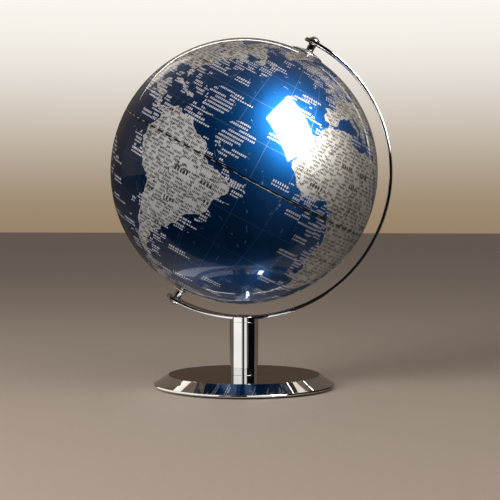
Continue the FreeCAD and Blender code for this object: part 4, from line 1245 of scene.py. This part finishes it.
class DESKGLOBE_OT_screws(bpy.types.Operator):
    """Set out the countersunk screws of the arc and of the floor plate"""

    bl_idname = "desk_globe.screws"
    bl_label = "Countersunk Screws"

    def blank(self, head, length):
        """One cross-recessed screw, head at the origin and pointing down."""
        shank = head * SHANK
        depth = head - shank
        screw = lathe("screw_blank", rounded([
            (0, 0), (head, 0, 0.08 * MM), (shank, -depth), (shank, -length, 0.3 * MM),
            (0, -length)], 2), UPRIGHT, 40)
        arms = []
        for turn in (0, math.pi / 2):
            long, wide, deep = head * RECESS_LENGTH, head * RECESS_WIDTH, depth * 0.7
            corners = [(x * long, y * wide, z) for z in (-deep, MM) for x in (-1, 1)
                       for y in (-1, 1)]
            arm = make_object("recess", corners, [(0, 1, 3, 2), (4, 6, 7, 5), (0, 4, 5, 1),
                                                  (2, 3, 7, 6), (0, 2, 6, 4), (1, 5, 7, 3)])
            arm.data.transform(Matrix.Rotation(turn, 4, "Z"))
            arms.append(arm)
        return cut(screw, arms)

    def set_out(self, piece, blank, flip, steel):
        """Put a screw at each point of a piece's mesh."""
        inputs = {"Points": None, "Flip": flip, "Drive Turn": 1.3}
        tree, given = open_tree("set_out_screws", inputs)
        screw = add(tree, "GeometryNodeObjectInfo", sockets={"Object": blank}, out="Geometry")
        # a different drive angle at each screw, the same at every run
        index = add(tree, "GeometryNodeInputIndex")
        turn = add(tree, MATH, index, given["Drive Turn"], operation="MULTIPLY")
        lie = add(tree, "ShaderNodeCombineXYZ", given["Flip"], 0.0, turn)
        screws = add(tree, "GeometryNodeInstanceOnPoints", given["Points"],
                     sockets={"Instance": screw, "Rotation": lie})
        close_tree(tree, screws, steel)
        grow(piece, tree, inputs)

    def execute(self, context):
        steel = finish("zinc_plated_steel", zinc_plated_steel)
        places, head, foot = arc_screw_places()
        low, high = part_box("plate_screws")
        plate_head = head * PLATE_HEAD
        reach = high.x - plate_head
        ring = [Vector((reach * math.cos(a), reach * math.sin(a), low.z))
                for a in (0, 2 * math.pi / 3, 4 * math.pi / 3)]
        for node, points, size, length, flip in (
                ("arc_screws", places, head, places[0].z - foot, 0.0),
                ("plate_screws", ring, plate_head, high.z - low.z, math.pi)):
            blank = self.blank(size, length)
            piece = make_object(node + "_set", [tuple(p) for p in points], [])
            self.set_out(piece, blank, flip, steel)
            bpy.data.objects.remove(blank)
            hand_over(crisp(piece), steel, "stand", "zinc_steel", node)
        return {"FINISHED"}


class DESKGLOBE_OT_column(bpy.types.Operator):
    """Make the column's tube and its slotted head"""

    bl_idname = "desk_globe.column"
    bl_label = "Column"

    def execute(self, context):
        edge = sizes().edge_round
        low, joint_level, bore, wide = span_round("column_tube", UPRIGHT)
        turn_piece("column_tube_plated", [
            (bore, low), (wide, low, edge * 0.5), (wide, joint_level, edge * 0.4),
            (bore, joint_level)], UPRIGHT, COLUMN_STEPS, chrome(), "stand", "bright_chrome",
            "column_tube")

        foot, top, _, wide = span_round("column_head", UPRIGHT)
        radius, level = corners_round("column_head", UPRIGHT)
        spigot = radius[level < foot + SAME].max()
        head = lathe("column_head_plated", rounded([
            (0, foot), (spigot, foot, edge), (spigot, joint_level),
            (wide, joint_level, edge * 0.4), (wide, top, 0.6 * MM), (0, top)], 6), UPRIGHT,
            COLUMN_STEPS)
        # the slot's floor follows the arc's outer side, and each side wall leaves 0.1 mm of room
        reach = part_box("meridian_arc")[1].x
        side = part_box("meridian_arc")[1].y + 0.1 * MM
        drum = lathe("slot", [(0, -side), (reach, -side), (reach, side), (0, side)], ARC_PLANE,
                     720)
        cut(head, [drum])
        hand_over(crisp(head, 0.25 * MM), chrome(), "stand", "bright_chrome", "column_head")
        return {"FINISHED"}


class DESKGLOBE_OT_base(bpy.types.Operator):
    """Make the plated base cover and the pad under it"""

    bl_idname = "desk_globe.base"
    bl_label = "Base"

    def execute(self, context):
        edge = sizes().edge_round
        low, top, hole, wide = span_round("base_shell", UPRIGHT)
        radius, level = corners_round("base_shell", UPRIGHT)
        flat = radius[level > top - SAME].max()
        lip_middle = level[radius > wide - SAME].mean()
        foot = radius[level < low + SAME].max()
        inside_lip = radius[level < low + SAME].min()
        ceiling = level[radius < hole * 1.01].min()
        inner_flat = radius[np.abs(level - ceiling) < SAME].max()
        side = level[np.abs(radius - inside_lip) < SAME].max()
        lip = [(foot + (wide - foot) * math.cos(a), lip_middle
                + (lip_middle - low) * math.sin(a))
               for a in np.linspace(-math.pi / 2, math.pi / 2, 13)]
        cover = [(hole, top), (hole, ceiling), (inner_flat, ceiling), (inside_lip, side),
                 (inside_lip, low)]
        shoulder = rounded([lip[-1], (flat, top, 1.2 * MM), (hole, top)], 6)[1:-1]
        turn_piece("base_cover_plated", cover + lip + shoulder, UPRIGHT, BASE_STEPS, chrome(),
                   "stand", "bright_chrome", "base_shell")

        low, high, _, wide = span_round("base_pad", UPRIGHT)
        turn_piece("base_foam_pad", [
            (0, low), (wide, low, edge), (wide, high, edge * 0.5), (0, high)], UPRIGHT,
            PAD_STEPS, finish("closed_cell_foam", foam_sheet), "stand", "foam_pad", "base_pad")
        return {"FINISHED"}


class DESKGLOBE_OT_inner_works(bpy.types.Operator):
    """Give the frame's own hidden pieces their finishes"""

    bl_idname = "desk_globe.inner_works"
    bl_label = "Inner Works"

    def execute(self, context):
        steel = finish("zinc_plated_steel", zinc_plated_steel)
        white = finish("white_moulded_abs", moulded_plastic, "white_moulded_abs",
                       "#dcdad2", "#cfccc2", 0.5, 0.4)
        finishes = {
            "joining_ring": finish("black_abs_with_foiled_scale", printed_ring),
            "column_foot_plug": white,
            "tie_bolt": steel,
            "tie_bolt_washer": steel,
            "tie_bolt_lock_washer": steel,
            "base_weight": finish("painted_cast_iron", painted_cast_iron),
            "base_floor_plate": finish("black_powder_coat", powder_coated_steel),
        }
        for node, skin in finishes.items():
            mesh = frame["nodes"][node].data
            for index in range(len(mesh.materials)):
                mesh.materials[index] = skin
            if not mesh.materials:
                mesh.materials.append(skin)
        return {"FINISHED"}


# ---- stage ----
class DESKGLOBE_OT_stage(bpy.types.Operator):
    """Lay the floor, hang the lights and place the camera"""

    bl_idname = "desk_globe.stage"
    bl_label = "Stage"

    camera_turn: FloatProperty(name="Camera turn", default=math.radians(7.2), subtype="ANGLE",
                               description="Camera's bearing from the front, towards +X")
    camera_distance: FloatProperty(name="Camera distance", default=1.203, unit="LENGTH",
                                   description="From the column's axis")
    camera_height: FloatProperty(name="Camera height", default=0.166, unit="LENGTH",
                                 description="Above the floor")

    def floor(self):
        """A large pale floor. Mirrors see only a shelf's depth of it, and dark beyond."""
        half = 8.0      # metres
        floor = make_object("floor", [(-half, -half, 0), (half, -half, 0), (half, half, 0),
                                      (-half, half, 0)], [(0, 1, 2, 3)])
        pale, tree = new_material("pale_matt_floor")
        place = add(tree, "ShaderNodeTexCoord", out="Object")
        # faint grain, patches of 4 mm
        grain = add(tree, "ShaderNodeTexNoise", place, sockets={"Scale": 250.0, "Detail": 3.0})
        tone = add(tree, MIX, grain, **COLOURS,
                   sockets={6: linear("#e0cdb8"), 7: linear("#e6d4c0")})
        x, y, _ = add(tree, "ShaderNodeSeparateXYZ", place).node.outputs
        # the shelf's front edge, 0.1 m before the column, and a slow fall to either side
        front = add(tree, "ShaderNodeMapRange", y, -0.100, -0.094, 1.0, 0.0)
        side = add(tree, "ShaderNodeMapRange", add(tree, MATH, x, operation="ABSOLUTE"),
                   0.10, 0.30, 0.0, 0.7)
        away = add(tree, MATH, front, side, operation="MAXIMUM")
        path = add(tree, "ShaderNodeLightPath").node
        dark = add(tree, MATH, away, path.outputs["Is Glossy Ray"], operation="MULTIPLY")
        # little of its light is thrown back up, so the ball's underside stays dark
        unlit = add(tree, MATH, path.outputs["Is Diffuse Ray"], 0.8, operation="MULTIPLY")
        dark = add(tree, MATH, dark, unlit, operation="MAXIMUM")
        tone = add(tree, MIX, dark, sockets={6: tone, 7: linear("#0c0a09")}, **COLOURS)
        shader = add(tree, "ShaderNodeBsdfPrincipled", sockets={
            "Base Color": tone, "Roughness": 0.8, "Specular IOR Level": 0.1})
        add(tree, "ShaderNodeOutputMaterial", shader)
        floor.data.materials.append(pale)

    def world(self):
        """A pale backdrop, soft light all round, and a dim brown room for mirrors to show."""
        world = bpy.data.worlds.new("studio")
        world.use_nodes = True
        tree = world.node_tree
        tree.nodes.clear()
        direction = add(tree, "ShaderNodeTexCoord", out="Generated")
        x, y, z = add(tree, "ShaderNodeSeparateXYZ", direction).node.outputs
        # the room's walls grow lighter from below the floor's level up to the ceiling
        level = add(tree, "ShaderNodeMapRange", z, -0.2, 1.0, 0.0, 1.0)
        walls = add(tree, "ShaderNodeValToRGB", level)
        stops = walls.node.color_ramp.elements
        colours = {0.0: "#1c1713", 0.17: "#41352b", 0.35: "#5a4c40", 0.6: "#6b5e52",
                   1.0: "#8d8073"}
        for position in list(colours)[1:-1]:
            stops.new(position)
        for stop, colour in zip(stops, colours.values()):
            stop.color = linear(colour)
        # its side walls are lit and its front is dark, by the direction's X and Y
        side = add(tree, "ShaderNodeMapRange", add(tree, MATH, x, operation="ABSOLUTE"),
                   0.84, 0.98, 0.0, 0.45)
        walls = add(tree, MIX, side, sockets={6: walls, 7: linear("#b8a48e")}, **COLOURS)
        front = add(tree, "ShaderNodeMapRange", y, -0.8, 0.0, 0.0, 1.0)
        room = add(tree, MIX, front, sockets={6: linear("#100f0d"), 7: walls}, **COLOURS)
        path = add(tree, "ShaderNodeLightPath").node
        height = add(tree, "ShaderNodeMapRange", z, -0.02, 0.17, 0.0, 1.0,
                     interpolation_type="SMOOTHSTEP")
        backdrop = add(tree, MIX, height, **COLOURS,
                       sockets={6: linear("#998469"), 7: linear("#fbf7f0")})
        # the soft light is brighter on the left
        turned = add(tree, "ShaderNodeMapRange", x, -1.0, 0.7, 0.0, 1.0)
        ambient = add(tree, MIX, turned, **COLOURS,
                      sockets={6: linear("#93908f"), 7: linear("#403e41")})
        pale = add(tree, MIX, path.outputs["Is Camera Ray"], **COLOURS,
                   sockets={6: ambient, 7: backdrop})
        seen = add(tree, MIX, path.outputs["Is Glossy Ray"], sockets={6: pale, 7: room}, **COLOURS)
        back = add(tree, "ShaderNodeBackground", seen, 1.0)
        add(tree, "ShaderNodeOutputWorld", back)
        bpy.context.scene.world = world

    def card(self, name, near, far, colour, strength):
        """A glowing card that only mirrors see, between two rows of corners."""
        count = len(near)
        faces = [(i, i + 1, count + i + 1, count + i) for i in range(count - 1)]
        card = make_object(name, [tuple(p) for p in near + far], faces)
        glow, tree = new_material(name + "_glow")
        add(tree, "ShaderNodeOutputMaterial",
            add(tree, "ShaderNodeEmission", linear(colour), strength))
        card.data.materials.append(glow)
        card.visible_camera = False
        card.visible_diffuse = False
        card.visible_shadow = False

    def cards(self):
        """The softbox, the strip behind the ball, and the low cards round the column."""
        middle = Vector((0.866, -0.705, 0.866))
        half_long = Vector((0.542, -0.196, -0.817)) * 0.46
        half_short = Vector((-0.331, -0.867, -0.372)) * 0.36
        self.card("softbox", [middle - half_long - half_short, middle - half_long + half_short],
                  [middle + half_long - half_short, middle + half_long + half_short],
                  "#fffaf2", 32.0)
        # a strip bent about the line of sight, so that its image follows the ball's upper edge
        # and drifts in from it towards both ends
        turns = np.linspace(-58, 86, 48)
        reach = np.interp(turns, (-58, -48, -38, 0, 32, 60, 86),
                          (0.80, 0.58, 0.44, 0.402, 0.404, 0.455, 0.53))
        width = np.interp(turns, (-58, -44, 32, 60, 86), (0.003, 0.016, 0.012, 0.007, 0.003))
        rows = [[(r * math.sin(a), 0.5, CENTRE.z + r * math.cos(a))
                 for r, a in zip(reach + share * width, np.radians(turns))] for share in (0, 1)]
        self.card("rim_strip", *rows, "#fff6ea", 12.0)
        # lit patches of wall high behind, left and right
        for name, side, strength in (("left_patch", -1, 1.7), ("right_patch", 1, 1.3)):
            rows = [[(side * across, 0.75, level) for level in (0.80, 1.20)]
                    for across in (0.50, 0.80)]
            self.card(name, *rows, "#f3e6d6", strength)
        # upright cards round the column, out of the base's reach. Bearings are measured from
        # the camera's, positive towards +X
        distance, top = 0.094, 0.063
        for name, first, last, colour, strength in (
                ("column_white", -86, -17, "#fbf7f0", 1.5),
                ("column_line", -13, -9, "#fbf7f0", 0.5),
                ("column_thin_white", 2, 19, "#fbf7f0", 1.3),
                ("column_black", 30, 86, "#0a0a0c", 1.0),
                ("column_grey", 92, 128, "#6e6257", 1.0),
                ("column_brown", -128, -92, "#7c6d60", 1.0)):
            turns = np.radians(np.linspace(first, last, 12)) + self.camera_turn
            rows = [[(distance * math.sin(a), -distance * math.cos(a), level) for a in turns]
                    for level in (0.0, top)]
            self.card(name, *rows, colour, strength)

    def light(self, name, direction, distance, size, power, colour):
        """A soft light that looks at the ball and that mirrors don't show."""
        lamp = bpy.data.lights.new(name, "AREA")
        lamp.size = size
        lamp.energy = power
        lamp.color = linear(colour)[:3]
        holder = new_object(name, lamp)
        away = Vector(direction).normalized()
        turn = away.to_track_quat("Z", "Y").to_matrix().to_4x4()
        holder.matrix_world = Matrix.Translation(CENTRE + away * distance) @ turn
        holder.visible_camera = False
        holder.visible_glossy = False

    def camera(self):
        """A level camera, its frame shifted a little so that the globe fills it."""
        turn = self.camera_turn
        eye = bpy.data.cameras.new("camera")
        eye.sensor_width = 36.0
        eye.lens = 92.16
        eye.shift_x = 0.0118
        eye.shift_y = -0.08
        eye.clip_end = 50.0
        holder = new_object("camera", eye)
        holder.location = (self.camera_distance * math.sin(turn),
                           -self.camera_distance * math.cos(turn), self.camera_height)
        holder.rotation_euler = (math.pi / 2, 0, turn)
        bpy.context.scene.camera = holder

    def execute(self, context):
        self.camera()
        self.floor()
        self.world()
        self.cards()
        self.light("key", (0.65, -0.55, 0.75), 1.3, 0.8, 1.3, "#fff8f0")
        self.light("front_fill", (-0.9, -1.0, 0.3), 1.6, 0.9, 18.0, "#fbfaff")
        bpy.context.scene.view_settings.view_transform = "Standard"
        return {"FINISHED"}


# ---- panel and registration ----
OPERATORS = (DESKGLOBE_OT_ball, DESKGLOBE_OT_dial, DESKGLOBE_OT_bearings, DESKGLOBE_OT_arc,
             DESKGLOBE_OT_screws, DESKGLOBE_OT_column, DESKGLOBE_OT_base,
             DESKGLOBE_OT_inner_works, DESKGLOBE_OT_stage)


class DESKGLOBE_PT_panel(bpy.types.Panel):
    """Lists the globe's pieces and settings"""

    bl_idname = "DESKGLOBE_PT_panel"
    bl_label = "Desk Globe"
    bl_space_type = "VIEW_3D"
    bl_region_type = "UI"
    bl_category = "Desk Globe"

    def draw(self, context):
        for settings in (context.scene.desk_globe_look, context.scene.desk_globe_sizes):
            for name in settings.__annotations__:
                self.layout.prop(settings, name)
        for operator in OPERATORS:
            self.layout.operator(operator.bl_idname)


CLASSES = (DeskGlobeLook, DeskGlobeSizes, *OPERATORS, DESKGLOBE_PT_panel)


def register():
    for item in CLASSES:
        bpy.utils.register_class(item)
    bpy.types.Scene.desk_globe_look = PointerProperty(type=DeskGlobeLook)
    bpy.types.Scene.desk_globe_sizes = PointerProperty(type=DeskGlobeSizes)


def unregister():
    del bpy.types.Scene.desk_globe_sizes
    del bpy.types.Scene.desk_globe_look
    for item in reversed(CLASSES):
        bpy.utils.unregister_class(item)


def main():
    register()
    for operator in OPERATORS:
        group, name = operator.bl_idname.split(".")
        getattr(getattr(bpy.ops, group), name)()


if __name__ == "__main__":
    main()
